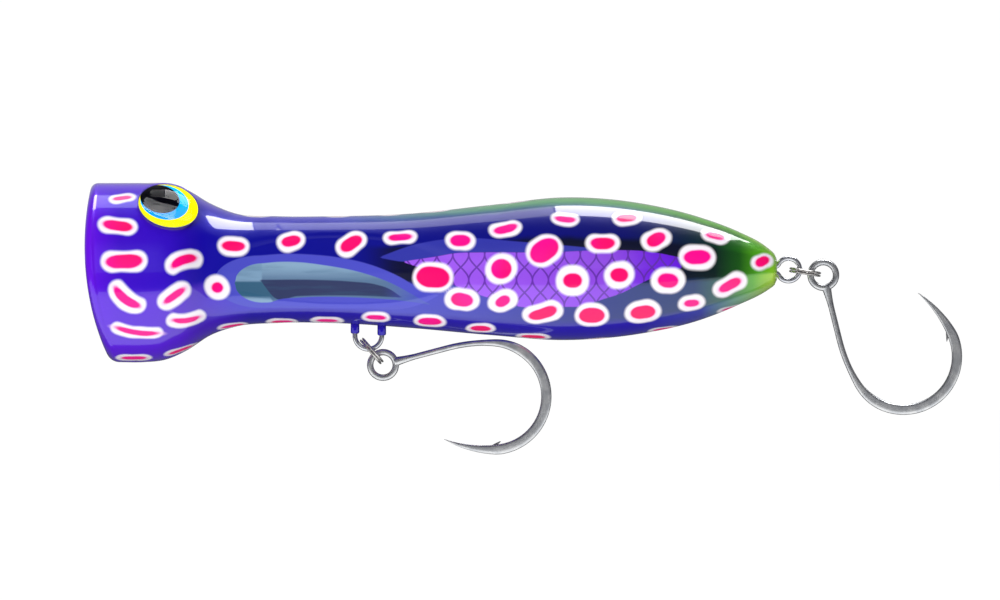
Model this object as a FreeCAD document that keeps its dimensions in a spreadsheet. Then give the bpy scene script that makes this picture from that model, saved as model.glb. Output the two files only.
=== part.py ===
"""Topwater popper: a two-half moulded fishing lure on one through wire.

Millimetres. The origin is the centre of the line tie eye, in the mouth cup. The nose points along
-X, the tail along +X, the back along +Z, and the lure's left side faces -Y.
"""
import FreeCAD, Part
import Sketcher
import math
import os

Vector = FreeCAD.Vector
Rotation = FreeCAD.Rotation
Placement = FreeCAD.Placement

X_AXIS = Vector(1, 0, 0)
Y_AXIS = Vector(0, 1, 0)
Z_AXIS = Vector(0, 0, 1)
FACING_X = Rotation(Y_AXIS, -90)      # a flat curve's long axis stands up and its normal lies along X
ALONG_X = Rotation(Y_AXIS, 90).multiply(Rotation(Z_AXIS, 90))      # a cylinder lies along +X
SEAM_ASIDE = Rotation(Z_AXIS, 90)     # a round tool's seam stays off the joint plane
STANDING = Rotation(X_AXIS, 90)       # a sketch stands in the XZ plane

# Hull sections: place along X, back height, belly height and half width over half height.
HULL = [
    (-8.0, 18.8, -20.0, 0.995),
    (-3.0, 18.8, -20.0, 0.995),
    (2.0, 18.8, -20.1, 0.995),
    (7.0, 18.8, -20.1, 0.995),
    (12.0, 18.7, -19.5, 0.995),
    (16.5, 17.3, -17.5, 0.99),
    (21.5, 14.4, -14.3, 0.96),
    (27.0, 12.2, -12.4, 0.93),
    (36.0, 11.6, -11.6, 0.92),
    (48.0, 11.6, -11.6, 0.92),
    (64.0, 12.1, -12.6, 0.92),
    (82.0, 14.0, -14.2, 0.92),
    (99.0, 15.7, -15.3, 0.92),
    (115.0, 14.4, -13.9, 0.92),
    (128.0, 11.3, -10.9, 0.92),
    (136.5, 8.1, -7.5, 0.94),
    (141.5, 5.5, -5.1, 0.97),
    (144.5, 3.1, -3.1, 0.99),
]

# Chambers inside the hull: front and rear along X, then half height and half width at each end.
CHAMBERS = [
    (8.5, 19.5, 13.4, 13.0, 12.6, 11.6),
    (21.5, 32.5, 11.4, 8.6, 9.3, 5.5),
    (34.5, 49.0, 9.2, 5.4, 9.2, 5.4),
    (64.5, 78.5, 9.9, 7.0, 11.3, 10.2),
    (80.5, 98.5, 11.6, 10.6, 13.2, 12.0),
    (100.5, 115.5, 13.2, 12.0, 11.8, 10.8),
    (117.5, 133.0, 11.4, 10.2, 6.6, 6.0),
]

SIZES = {
    "face_radius": 80.0, "face_front": -5.5, "face_height": 6.0,
    "cup_radius": 17.9, "cup_reach": 17.5, "cup_depth": 11.0, "cup_height": -0.6,
    "scoop_middle": 47.0, "scoop_height": -1.0, "scoop_floor": 7.5,
    "scoop_long": 50.5, "scoop_deep": 30.0, "scoop_tall": 40.6,
    "boss_radius": 0.95, "boss_top": -10.5, "boss_bottom": -13.6,
    "pin_radius": 1.1, "pin_reach": 2.4, "pin_fit": 0.08,
    "wire_radius": 0.54, "wire_fit": 0.06, "leg_offset": 0.6, "neck_radius": 1.2,
    "nose_eye_radius": 2.45, "tail_eye_radius": 2.46, "tail_eye_x": 147.02,
    "nose_leg_end": 26.0, "tail_leg_start": 122.0,
    "loop_x": 55.83, "loop_radius": 2.9, "loop_centre_z": -14.35, "loop_bend": 4.0,
    "eye_x": 12.5, "eye_y": 12.0, "eye_z": 13.5, "eye_lift": 46.0, "eye_sweep": 10.0,
    "eye_radius": 6.7, "print_thick": 0.3, "dome_edge": 0.5, "dome_rise": 1.9, "eye_fit": 0.1,
    "tail_weight_x": 90.0, "tail_weight_length": 28.0, "tail_weight_radius": 5.0,
    "tail_weight_z": -6.4,
    "belly_weight_x": 26.0, "belly_weight_length": 14.0, "belly_weight_radius": 3.8,
    "belly_weight_z": -5.1, "weight_fit": 0.08, "weight_chamfer": 0.6,
    "rattle_x": 79.5, "rattle_length": 20.0, "rattle_radius": 3.5, "rattle_bore": 2.8,
    "rattle_z": 6.0, "rattle_floor": 0.8, "cap_plug": 1.6, "cap_flange": 0.7, "ball_radius": 2.4,
    "ring_radius": 3.075, "ring_half_width": 0.425, "ring_half_thick": 0.27, "ring_step": 0.6,
    "ring_ramp": 50.0,
    "belly_ring_x": 56.55, "belly_ring_z": -17.65, "belly_ring_turn": 48.9,
    "tail_ring_x": 150.63, "tail_ring_z": -0.53, "tail_ring_turn": 9.0,
    "hook_eye_radius": 2.77, "hook_eye_wire": 0.70, "hook_shank": 0.62, "hook_straight": 14.5,
    "hook_sweep_radius": 35.0, "hook_sweep_end": 24.76, "hook_bend_radius": 11.6,
    "hook_bend_end": 104.7, "hook_point_radius": 26.0, "hook_point_length": 10.9,
    "hook_forged_half": 1.12, "hook_forged_side": 0.68, "barb_back": 10.6, "barb_length": 2.2,
    "barb_radius": 0.55, "barb_tip": 0.08, "barb_lean": 0.42,
    "hook_forged_lead": 5.0, "hook_forged_run": 9.0, "hook_taper": 0.94, "hook_taper_reach": 1.15,
    "hook_neck_radius": 1.05, "hook_neck_length": 3.4, "hook_neck_gap": 0.25,
    "belly_hook_x": 59.0, "belly_hook_z": -20.69, "belly_hook_turn": -14.7,
    "tail_hook_x": 154.58, "tail_hook_z": -1.15, "tail_hook_turn": 76.0,
}

HALF_PINS = [(13.5, 16.0), (13.5, -16.2), (136.0, 4.2), (136.0, -4.0)]      # X and Z of each pin
TIP_TALL = 0.06       # least half widths of a hook's point, so that it stays a solid
TIP_WIDE = 0.05
BARB_DEPTH = 0.45     # the barb's foot lies this part of the rod's half width off its middle
BARB_LEAD = 0.3       # and this far towards the point

doc = FreeCAD.newDocument("TopwaterPopper")
sheet = doc.addObject("Spreadsheet::Sheet", "sizes")


def fill_sheet():
    """Put every driving dimension in the sheet as a plain number with an alias."""
    rows = dict(SIZES)
    for number, (x, top, bottom, ratio) in enumerate(HULL):
        rows["hull_x_%d" % number] = x
        rows["hull_top_%d" % number] = top
        rows["hull_bottom_%d" % number] = bottom
        rows["hull_ratio_%d" % number] = ratio
    for number, chamber in enumerate(CHAMBERS):
        for word, amount in zip(("front", "rear", "tall_a", "wide_a", "tall_b", "wide_b"), chamber):
            rows["chamber_%s_%d" % (word, number)] = amount
    for row, (alias, amount) in enumerate(rows.items(), start=1):
        sheet.set("A%d" % row, alias)
        sheet.set("B%d" % row, str(amount))
        sheet.setAlias("B%d" % row, alias)
    doc.recompute()


def size(alias):
    """Read one driving dimension back from the sheet."""
    return float(sheet.get(alias))


def add(kind, name, **bound):
    """Add an object and bind its properties, __ standing for a dot, to expressions on the sheet."""
    item = doc.addObject(kind, name)
    for prop, expression in bound.items():
        item.setExpression(prop.replace("__", "."), expression)
    return item


def turned(item, rotation):
    """Turn an object whose place is bound to the sheet, and give it back."""
    item.Placement.Rotation = rotation
    return item


def body_sketch(body, name, role):
    """Add an empty sketch on one of a body's own origin planes."""
    sketch = body.newObject("Sketcher::SketchObject", name)
    plane = [face for face in body.Origin.OriginFeatures if face.Role == role][0]
    sketch.AttachmentSupport = [(plane, "")]
    sketch.MapMode = "FlatFace"
    return sketch


def closed_outline(sketch, points):
    """Draw a closed run of straight lines through points in a sketch."""
    for start, end in zip(points, points[1:] + points[:1]):
        sketch.addGeometry(Part.LineSegment(Vector(*start, 0), Vector(*end, 0)))


def arc(centre, radius, start, end):
    """Make an arc in a sketch's plane, anticlockwise from start to end, in degrees."""
    circle = Part.Circle(Vector(*centre, 0), Z_AXIS, radius)
    return Part.ArcOfCircle(circle, math.radians(start), math.radians(end))


def line(start, end):
    """Make a straight run in a sketch's plane."""
    return Part.LineSegment(Vector(*start, 0), Vector(*end, 0))


def wire_route():
    """Centreline of the through wire in X and Z, from the end of its nose leg to its tail leg's."""
    leg = size("leg_offset")
    neck = size("neck_radius")
    neck_z = leg + neck
    nose = size("nose_eye_radius")
    tail = size("tail_eye_radius")
    tail_x = size("tail_eye_x")
    nose_neck = math.sqrt((nose + neck) ** 2 - neck_z ** 2)
    nose_turn = math.degrees(math.atan2(neck_z, nose_neck))
    tail_neck = math.sqrt((tail + neck) ** 2 - neck_z ** 2)
    tail_turn = math.degrees(math.atan2(neck_z, tail_neck))
    bend = size("loop_bend")
    left = size("loop_x") - size("loop_radius")
    right = size("loop_x") + size("loop_radius")
    low = size("loop_centre_z")
    return [
        line((size("nose_leg_end"), leg), (nose_neck, leg)),
        arc((nose_neck, neck_z), neck, 180 + nose_turn, 270),
        arc((0, 0), nose, nose_turn, 360 - nose_turn),
        arc((nose_neck, -neck_z), neck, 90, 180 - nose_turn),
        line((nose_neck, -leg), (left - bend, -leg)),
        arc((left - bend, -leg - bend), bend, 0, 90),
        line((left, -leg - bend), (left, low)),
        arc((size("loop_x"), low), size("loop_radius"), 180, 360),
        line((right, low), (right, -leg - bend)),
        arc((right + bend, -leg - bend), bend, 90, 180),
        line((right + bend, -leg), (tail_x - tail_neck, -leg)),
        arc((tail_x - tail_neck, -neck_z), neck, tail_turn, 90),
        arc((tail_x, 0), tail, 180 + tail_turn, 540 - tail_turn),
        arc((tail_x - tail_neck, neck_z), neck, 270, 360 - tail_turn),
        line((tail_x - tail_neck, leg), (size("tail_leg_start"), leg)),
    ]


def half_section(name, x, middle, tall, wide):
    """Left half of an ellipse across X, closed by a line on the joint plane between the halves."""
    sketch = add("Sketcher::SketchObject", name, Placement__Base__x=x, Placement__Base__z=middle)
    turned(sketch, FACING_X)
    half_tall = sketch.evalExpression(tall)
    half_wide = sketch.evalExpression(wide)
    whole = Part.Ellipse(Vector(0, 0, 0), half_tall, half_wide)
    sketch.addGeometry(Part.ArcOfEllipse(whole, math.pi, 2 * math.pi))
    sketch.addGeometry(line((half_tall, 0), (-half_tall, 0)))
    sketch.exposeInternalGeometry(0)
    for diameter, amount, words in ((2, half_tall, tall), (3, half_wide, wide)):
        spot = sketch.addConstraint(Sketcher.Constraint("Distance", diameter, 2 * amount))
        sketch.setExpression("Constraints[%d]" % spot, "2 * (%s)" % words)
    sketch.addConstraint(Sketcher.Constraint("Coincident", 0, 3, -1, 1))
    sketch.addConstraint(Sketcher.Constraint("Vertical", 3))
    sketch.addConstraint(Sketcher.Constraint("Coincident", 1, 1, 0, 2))
    sketch.addConstraint(Sketcher.Constraint("Coincident", 1, 2, 0, 1))
    sketch.addConstraint(Sketcher.Constraint("Horizontal", 1))
    return sketch


def half_loft(name, sections, ruled):
    """Solid through half sections, smooth or in straight lines."""
    loft = doc.addObject("Part::Loft", name)
    loft.Sections = sections
    loft.Solid = True
    loft.Ruled = ruled
    return loft


def hull():
    """Left half of the outer shape: a smooth loft, cut to the raked and rounded face."""
    sections = []
    for number in range(len(HULL)):
        tall = "(sizes.hull_top_%d - sizes.hull_bottom_%d) / 2" % (number, number)
        middle = "(sizes.hull_top_%d + sizes.hull_bottom_%d) / 2" % (number, number)
        sections.append(half_section("HullSection%d" % number, "sizes.hull_x_%d" % number, middle,
                                     tall, tall + " * sizes.hull_ratio_%d" % number))
    loft = half_loft("HullLoft", sections, False)
    face = turned(add("Part::Cylinder", "FaceCut", Radius="sizes.face_radius", Height="60",
                      Placement__Base__x="sizes.face_front + sizes.face_radius",
                      Placement__Base__y="30", Placement__Base__z="sizes.face_height"), STANDING)
    reach = add("Part::Box", "TailReach", Length="200", Width="60", Height="60",
                Placement__Base__x="sizes.face_front + sizes.face_radius / 2",
                Placement__Base__y="-30", Placement__Base__z="-30")
    keep = join("Part::MultiFuse", "FaceKeep", [face, reach])
    return pair("Part::Common", "Hull", loft, keep)


def join(kind, name, items):
    """Fuse a list of objects into one."""
    fused = doc.addObject(kind, name)
    fused.Shapes = items
    return fused


def pair(kind, name, base, tool):
    """Cut or intersect one object with another."""
    result = doc.addObject(kind, name)
    result.Base = base
    result.Tool = tool
    return result


def chamber(number):
    """One hollow of the hull, a straight loft between two ellipses."""
    ends = []
    for end, place in (("a", "front"), ("b", "rear")):
        ends.append(half_section("Chamber%d%s" % (number, end),
                                 "sizes.chamber_%s_%d" % (place, number), "0",
                                 "sizes.chamber_tall_%s_%d" % (end, number),
                                 "sizes.chamber_wide_%s_%d" % (end, number)))
    return half_loft("Chamber%d" % number, ends, True)


def eye_place(side, depth):
    """Placement of an eye piece, its axis out of the head; side is -1 on the left and 1 on the right."""
    lift = math.radians(size("eye_lift"))
    sweep = math.radians(size("eye_sweep"))
    out = Vector(math.sin(sweep), side * math.cos(sweep) * math.cos(lift),
                 math.cos(sweep) * math.sin(lift))
    seat = Vector(size("eye_x"), side * size("eye_y"), size("eye_z"))
    return Placement(seat + out * depth, Rotation(Z_AXIS, out))


def lying_tool(name, x, length, radius, z, fit):
    """A round tool along X that clears a round piece by its fit."""
    return turned(add("Part::Cylinder", name, Radius="%s + %s" % (radius, fit),
                      Height="%s + 2 * %s" % (length, fit), Placement__Base__x="%s - %s" % (x, fit),
                      Placement__Base__z=z), ALONG_X)


def shell_blank():
    """Left half of the hollow hull without its pins: the hull and bosses less every recess."""
    bosses = []
    for word, sign in (("Front", "-"), ("Rear", "+")):
        boss = add("Part::Cylinder", "Boss" + word, Radius="sizes.boss_radius", Angle="180",
                   Height="sizes.boss_top - sizes.boss_bottom",
                   Placement__Base__x="sizes.loop_x %s sizes.loop_radius" % sign,
                   Placement__Base__z="sizes.boss_bottom")
        bosses.append(turned(boss, Rotation(Z_AXIS, 180)))
    cup = turned(add("Part::Ellipsoid", "MouthCup", Radius1="sizes.cup_radius",
                     Radius2="sizes.cup_radius", Radius3="sizes.cup_reach",
                     Placement__Base__x="sizes.face_front + sizes.cup_depth - sizes.cup_reach",
                     Placement__Base__z="sizes.cup_height"), SEAM_ASIDE)
    cupped = pair("Part::Cut", "CuppedHull", hull(), cup)
    half = join("Part::MultiFuse", "HullWithBosses", [cupped] + bosses)
    scoop = add("Part::Ellipsoid", "Scoop", Radius1="sizes.scoop_tall", Radius2="sizes.scoop_long",
                Radius3="sizes.scoop_deep", Placement__Base__x="sizes.scoop_middle",
                Placement__Base__y="-sizes.scoop_floor - sizes.scoop_deep",
                Placement__Base__z="sizes.scoop_height")
    socket = add("Part::Cylinder", "EyeSocket", Radius="sizes.eye_radius + sizes.eye_fit",
                 Height="20")
    socket.Placement = eye_place(-1, 0)
    channel_route = doc.addObject("Sketcher::SketchObject", "ChannelRoute")
    channel_route.Placement = Placement(Vector(0, 0, 0), STANDING)
    channel_route.addGeometry(wire_route())
    mouth = turned(add("Part::Circle", "ChannelMouth", Radius="sizes.wire_radius + sizes.wire_fit",
                       Placement__Base__x="sizes.nose_leg_end",
                       Placement__Base__z="sizes.leg_offset"),
                   FACING_X.multiply(SEAM_ASIDE))
    channel = doc.addObject("Part::Sweep", "WireChannel")
    channel.Sections = [mouth]
    channel.Spine = (channel_route, ["Edge%d" % (i + 1) for i in range(len(wire_route()))])
    channel.Solid = True
    channel.Transition = "Transformed"
    tools = [scoop, socket, channel] + [chamber(number) for number in range(len(CHAMBERS))]
    tools.append(lying_tool("TailWeightRoom", "sizes.tail_weight_x", "sizes.tail_weight_length",
                            "sizes.tail_weight_radius", "sizes.tail_weight_z", "sizes.weight_fit"))
    tools.append(lying_tool("BellyWeightRoom", "sizes.belly_weight_x", "sizes.belly_weight_length",
                            "sizes.belly_weight_radius", "sizes.belly_weight_z", "sizes.weight_fit"))
    tools.append(lying_tool("RattleRoom", "sizes.rattle_x", "sizes.rattle_length",
                            "sizes.rattle_radius", "sizes.rattle_z", "sizes.weight_fit"))
    for number, tool in enumerate(tools):
        half = pair("Part::Cut", "ShellCut%d" % number, half, tool)
    return half


def pin_tools(name, radius, reach):
    """The round pins, or their sockets, that locate one half on the other."""
    pins = []
    for number, (x, z) in enumerate(HALF_PINS):
        pin = add("Part::Cylinder", "%s%d" % (name, number), Radius=radius, Height=reach + " + 2")
        pin.Placement = Placement(Vector(x, -2, z), Rotation(Z_AXIS, Y_AXIS))
        pins.append(pin)
    return pins


def shells():
    """Both halves: the left with its pins, the right mirrored from the same blank with sockets."""
    blank = shell_blank()
    left = join("Part::MultiFuse", "ShellLeft", [blank] + pin_tools("Pin", "sizes.pin_radius",
                                                                   "sizes.pin_reach"))
    other = doc.addObject("Part::Mirroring", "RightBlank")
    other.Source = blank
    other.Normal = Y_AXIS
    sockets = join("Part::MultiFuse", "PinSockets",
                   pin_tools("Socket", "sizes.pin_radius + sizes.pin_fit",
                             "sizes.pin_reach + sizes.pin_fit"))
    right = pair("Part::Cut", "ShellRight", other, sockets)
    return {"shell_left": left, "shell_right": right}


def through_wire():
    """The one bent wire that holds line tie, belly loop and tail eye together."""
    body = doc.addObject("PartDesign::Body", "ThroughWire")
    route = body_sketch(body, "WireRoute", "XZ_Plane")
    route.addGeometry(wire_route())
    end = body_sketch(body, "WireSection", "YZ_Plane")
    end.setExpression("AttachmentOffset.Base.z", "sizes.nose_leg_end")
    end.addGeometry(Part.Circle(Vector(0, size("leg_offset"), 0), Z_AXIS, size("wire_radius")))
    end.addConstraint(Sketcher.Constraint("Radius", 0, size("wire_radius")))
    end.setExpression("Constraints[0]", "sizes.wire_radius")
    pipe = body.newObject("PartDesign::AdditivePipe", "WirePipe")
    pipe.Profile = end
    pipe.Spine = (route, ["Edge%d" % (i + 1) for i in range(len(wire_route()))])
    pipe.Transition = "Transformed"
    return body


def turned_piece(name, points, arcs=()):
    """A piece made by turning an outline in X and Z about its body's Z axis."""
    body = doc.addObject("PartDesign::Body", name)
    outline = body_sketch(body, name + "Outline", "XZ_Plane")
    if arcs:
        outline.addGeometry(list(arcs))
    else:
        closed_outline(outline, points)
    turn = body.newObject("PartDesign::Revolution", name + "Turn")
    turn.Profile = outline
    turn.ReferenceAxis = (outline, ["V_Axis"])
    turn.Angle = 360
    return body


def eye_print(side, word):
    """Flat printed disc at the bottom of an eye socket."""
    radius = size("eye_radius")
    thick = size("print_thick")
    body = turned_piece("EyePrint" + word, [(0, 0), (radius, 0), (radius, thick), (0, thick)])
    body.Placement = eye_place(side, 0)
    return body


def eye_dome(side, word):
    """Clear cast dome over an eye print: a short edge and a spherical cap."""
    radius = size("eye_radius")
    edge = size("dome_edge")
    rise = size("dome_rise")
    ball = (radius ** 2 + rise ** 2) / (2 * rise)
    centre = edge + rise - ball
    start = math.degrees(math.atan2(edge - centre, radius))
    arcs = [
        line((0, 0), (radius, 0)),
        line((radius, 0), (radius, edge)),
        arc((0, centre), ball, start, 90),
        line((0, edge + rise), (0, 0)),
    ]
    body = turned_piece("EyeDome" + word, [], arcs)
    body.Placement = eye_place(side, size("print_thick"))
    return body


def weight(name, word):
    """Round steel ballast along X, with chamfered ends."""
    radius = size(word + "_radius")
    long = size(word + "_length")
    cut = size("weight_chamfer")
    points = [(0, 0), (radius - cut, 0), (radius, cut), (radius, long - cut), (radius - cut, long),
              (0, long)]
    body = turned_piece(name, points)
    body.Placement = Placement(Vector(size(word + "_x"), 0, size(word + "_z")), ALONG_X)
    return body


def rattle_tube():
    """Closed-ended tube for the rattle ball, open towards the tail for its cap."""
    outer = size("rattle_radius")
    bore = size("rattle_bore")
    long = size("rattle_length") - size("cap_flange")
    floor = size("rattle_floor")
    body = turned_piece("RattleTube", [(0, 0), (outer, 0), (outer, long), (bore, long),
                                       (bore, floor), (0, floor)])
    body.Placement = Placement(Vector(size("rattle_x"), 0, size("rattle_z")), ALONG_X)
    return body


def rattle_cap():
    """Plug with a flange that closes the rattle tube."""
    outer = size("rattle_radius")
    bore = size("rattle_bore") - size("pin_fit") / 2
    plug = size("cap_plug")
    flange = size("cap_flange")
    body = turned_piece("RattleCap", [(0, 0), (bore, 0), (bore, plug), (outer, plug),
                                      (outer, plug + flange), (0, plug + flange)])
    start = size("rattle_x") + size("rattle_length") - flange - plug
    body.Placement = Placement(Vector(start, 0, size("rattle_z")), ALONG_X)
    return body


def ball_rest():
    """X of the rattle ball's centre at the tail end of its travel, where it lies at rest."""
    plug_face = size("rattle_x") + size("rattle_length") - size("cap_flange") - size("cap_plug")
    return plug_face - size("ball_radius") - 0.1


def rattle_ball():
    """Steel ball that rolls in the rattle tube."""
    ball = add("Part::Sphere", "RattleBall", Radius="sizes.ball_radius",
               Placement__Base__z="sizes.rattle_z")
    ball.Placement.Base.x = ball_rest()
    return ball


def split_ring(name, word):
    """Flat double coil of oval wire: two plane turns joined by one rising step."""
    radius = size("ring_radius")
    half_step = size("ring_step") / 2
    ramp = math.radians(size("ring_ramp"))

    def rim(angle, height):
        """Point of the coil's centreline at an angle and height."""
        return Vector(radius * math.cos(angle), radius * math.sin(angle), height)

    first = Part.Arc(rim(ramp / 2, -half_step), rim(math.pi, -half_step),
                     rim(2 * math.pi - ramp / 2, -half_step)).toShape()
    second = Part.Arc(rim(ramp / 2, half_step), rim(math.pi, half_step),
                      rim(2 * math.pi - ramp / 2, half_step)).toShape()
    rise = Part.BSplineCurve()
    steps = [(-0.5, -1.0), (-0.25, -0.7), (0.0, 0.0), (0.25, 0.7), (0.5, 1.0)]
    rise.interpolate([rim(ramp * turn, half_step * height) for turn, height in steps],
                     InitialTangent=Vector(math.sin(ramp / 2), math.cos(ramp / 2), 0),
                     FinalTangent=Vector(-math.sin(ramp / 2), math.cos(ramp / 2), 0))
    spine = Part.Wire([first, rise.toShape(), second])
    start = rim(ramp / 2, -half_step)
    out = Vector(math.cos(ramp / 2), math.sin(ramp / 2), 0)
    oval = Part.Ellipse(start + out * size("ring_half_width"),
                        start + Z_AXIS * size("ring_half_thick"), start)
    sweep = Part.BRepOffsetAPI.MakePipeShell(spine)
    sweep.setBiNormalMode(Z_AXIS)
    sweep.add(Part.Wire([oval.toShape()]))
    sweep.build()
    sweep.makeSolid()
    ring = doc.addObject("Part::Feature", name)
    ring.Shape = sweep.shape()
    turn = size(word + "_turn")
    # The step lies at the ring's side, clear of the wire loop and of the hook's eye.
    ring.Placement = Placement(Vector(size(word + "_x"), 0, size(word + "_z")),
                               Rotation(Y_AXIS, turn).multiply(Rotation(Z_AXIS, 90)))
    return ring


def hook_stations():
    """Places along a hook from its eye to its point: point, direction and the two half widths."""
    shank = size("hook_shank")
    straight = size("hook_straight")
    sweep = size("hook_sweep_radius")
    turn = math.asin((size("hook_sweep_end") - straight) / sweep)
    bend = size("hook_bend_radius")
    bend_turn = math.radians(size("hook_bend_end")) + math.pi / 2 - turn
    tip = size("hook_point_radius")
    tip_turn = size("hook_point_length") / tip
    stretches = [(None, straight - size("hook_eye_radius"), 4), (sweep, turn, 4), (bend, bend_turn, 14),
                 (tip, tip_turn, 6)]
    point = Vector(size("hook_eye_radius"), 0, 0)
    heading = 0.0
    places = [(point, heading)]
    for radius, amount, count in stretches:
        for _ in range(count):
            step = amount / count
            if radius is None:
                point = point + Vector(math.cos(heading), 0, math.sin(heading)) * step
            else:
                chord = 2 * radius * math.sin(step / 2)
                middle = heading - step / 2
                point = point + Vector(math.cos(middle), 0, math.sin(middle)) * chord
                heading = heading - step
            places.append((point, heading))
    lengths = [0.0]
    for before, after in zip(places, places[1:]):
        lengths.append(lengths[-1] + (after[0] - before[0]).Length)
    whole = lengths[-1]
    tip_start = whole - size("hook_point_length") * size("hook_taper_reach")
    forged_start = straight + size("hook_forged_lead")
    stations = []
    for (point, heading), far in zip(places, lengths):
        forged = min(1.0, max(0.0, (far - forged_start) / size("hook_forged_run")))
        taper = min(1.0, max(0.0, (far - tip_start) / (whole - tip_start)))
        tall = shank + (size("hook_forged_half") - shank) * forged
        wide = shank + (size("hook_forged_side") - shank) * forged
        thin = 1.0 - size("hook_taper") * taper
        stations.append((point, heading, max(TIP_TALL, tall * thin), max(TIP_WIDE, wide * thin)))
    return stations


def hook(name, word, flip):
    """Forged single hook: round eye, neck, shank and bend that tapers to a needle point with a barb."""
    stations = hook_stations()
    sections = []
    for point, heading, tall, wide in stations:
        across = Vector(-math.sin(heading), 0, math.cos(heading))
        if tall >= wide + 0.001:
            oval = Part.Ellipse(point + across * tall, point + Y_AXIS * wide, point)
        else:
            oval = Part.Circle(point, Vector(math.cos(heading), 0, math.sin(heading)), tall)
        sections.append(Part.Wire([oval.toShape()]))
    rod = Part.makeLoft(sections, True, False)
    eye = Part.makeTorus(size("hook_eye_radius"), size("hook_eye_wire"), Vector(0, 0, 0), Y_AXIS)
    neck_start = Vector(size("hook_eye_radius") + size("hook_neck_gap"), 0, 0)
    neck_long = size("hook_neck_length")
    neck = Part.makeCone(size("hook_neck_radius"), size("hook_shank"), neck_long, neck_start, X_AXIS)
    back = 0.0
    barb_spot = stations[-1]
    for after, before in zip(reversed(stations), reversed(stations[:-1])):
        back += (after[0] - before[0]).Length
        barb_spot = before
        if back > size("barb_back"):
            break
    spot, heading, tall, _ = barb_spot
    inward = Vector(math.sin(heading), 0, -math.cos(heading))
    backward = Vector(-math.cos(heading), 0, -math.sin(heading))
    lean = (backward + inward * size("barb_lean")).normalize()
    foot = spot + inward * (tall * BARB_DEPTH) - backward * BARB_LEAD
    barb = Part.makeCone(size("barb_radius"), size("barb_tip"), size("barb_length"), foot, lean)
    whole = eye.fuse([rod, neck, barb])
    piece = doc.addObject("Part::Feature", name)
    piece.Shape = whole
    base = Rotation(Y_AXIS, size(word + "_turn"))
    piece.Placement = Placement(Vector(size(word + "_x"), 0, size(word + "_z")),
                                base.multiply(Rotation(X_AXIS, 180 if flip else 0)))
    return piece


def build():
    """Build every sub-part and give back its node name and object."""
    fill_sheet()
    nodes = shells()
    nodes["through_wire"] = through_wire()
    for side, word in ((-1, "left"), (1, "right")):
        nodes["eye_print_" + word] = eye_print(side, word.title())
        nodes["eye_dome_" + word] = eye_dome(side, word.title())
    nodes["tail_ballast"] = weight("TailBallast", "tail_weight")
    nodes["belly_ballast"] = weight("BellyBallast", "belly_weight")
    nodes["rattle_tube"] = rattle_tube()
    nodes["rattle_tube_cap"] = rattle_cap()
    nodes["rattle_ball"] = rattle_ball()
    nodes["belly_split_ring"] = split_ring("BellySplitRing", "belly_ring")
    nodes["tail_split_ring"] = split_ring("TailSplitRing", "tail_ring")
    nodes["belly_hook"] = hook("BellyHook", "belly_hook", False)
    nodes["tail_hook"] = hook("TailHook", "tail_hook", True)
    return nodes


def check(nodes):
    """Stop if an object failed to compute or a sub-part's shape is missing or not valid."""
    failed = [item.Name for item in doc.Objects if {"Invalid", "Error"} & set(item.State)]
    if failed:
        raise RuntimeError("failed objects: %s" % ", ".join(failed))
    for item in doc.Objects:
        if item.TypeId == "Part::Cut" and item.Shape.Volume > item.Base.Shape.Volume - 1.0:
            raise RuntimeError("%s cuts nothing" % item.Name)
    for node, item in nodes.items():
        shape = item.Shape
        if shape.isNull() or not shape.isValid():
            raise RuntimeError("%s has no valid shape" % node)
        box = shape.optimalBoundingBox(False)
        print("%-18s solids %d volume %9.1f  X %7.2f %7.2f  Y %7.2f %7.2f  Z %7.2f %7.2f" % (
            node, len(shape.Solids), shape.Volume, box.XMin, box.XMax, box.YMin, box.YMax,
            box.ZMin, box.ZMax))


def write(nodes):
    """Label every sub-part with its node name and write its STEP file."""
    os.makedirs("parts", exist_ok=True)
    for node, item in nodes.items():
        item.Label = node
        item.Shape.exportStep("parts/%s.step" % node)


parts = build()
doc.recompute()
check(parts)
write(parts)
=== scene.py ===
"""Visual model of a topwater popper: painted hull, domed eyes, through wire, split rings and hooks."""
import logging
import math
from dataclasses import dataclass, field
from enum import Enum
from typing import Any, Sequence

import bpy
import numpy as np
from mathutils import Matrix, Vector


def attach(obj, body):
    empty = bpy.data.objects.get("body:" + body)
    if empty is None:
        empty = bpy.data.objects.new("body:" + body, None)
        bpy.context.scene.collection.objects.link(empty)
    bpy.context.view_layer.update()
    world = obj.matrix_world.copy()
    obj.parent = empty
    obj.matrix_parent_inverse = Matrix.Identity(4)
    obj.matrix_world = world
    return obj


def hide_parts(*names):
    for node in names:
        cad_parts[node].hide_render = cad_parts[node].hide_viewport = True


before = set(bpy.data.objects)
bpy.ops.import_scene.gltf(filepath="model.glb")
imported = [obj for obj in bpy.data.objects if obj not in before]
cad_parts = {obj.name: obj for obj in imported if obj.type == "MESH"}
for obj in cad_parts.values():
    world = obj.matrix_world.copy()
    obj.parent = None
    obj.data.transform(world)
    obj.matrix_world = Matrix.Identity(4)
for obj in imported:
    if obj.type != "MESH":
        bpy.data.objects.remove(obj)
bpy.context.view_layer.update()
LOG = logging.getLogger("popper")
MM = 0.001
NOSE = -5.5          # X of the foremost point of the face, in mm
LENGTH = 150.0       # face to tail, in mm

Array = np.ndarray
Colour = tuple[float, float, float]


# ---------------------------------------------------------------------------------------------
# Curves and meshes
# ---------------------------------------------------------------------------------------------

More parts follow.
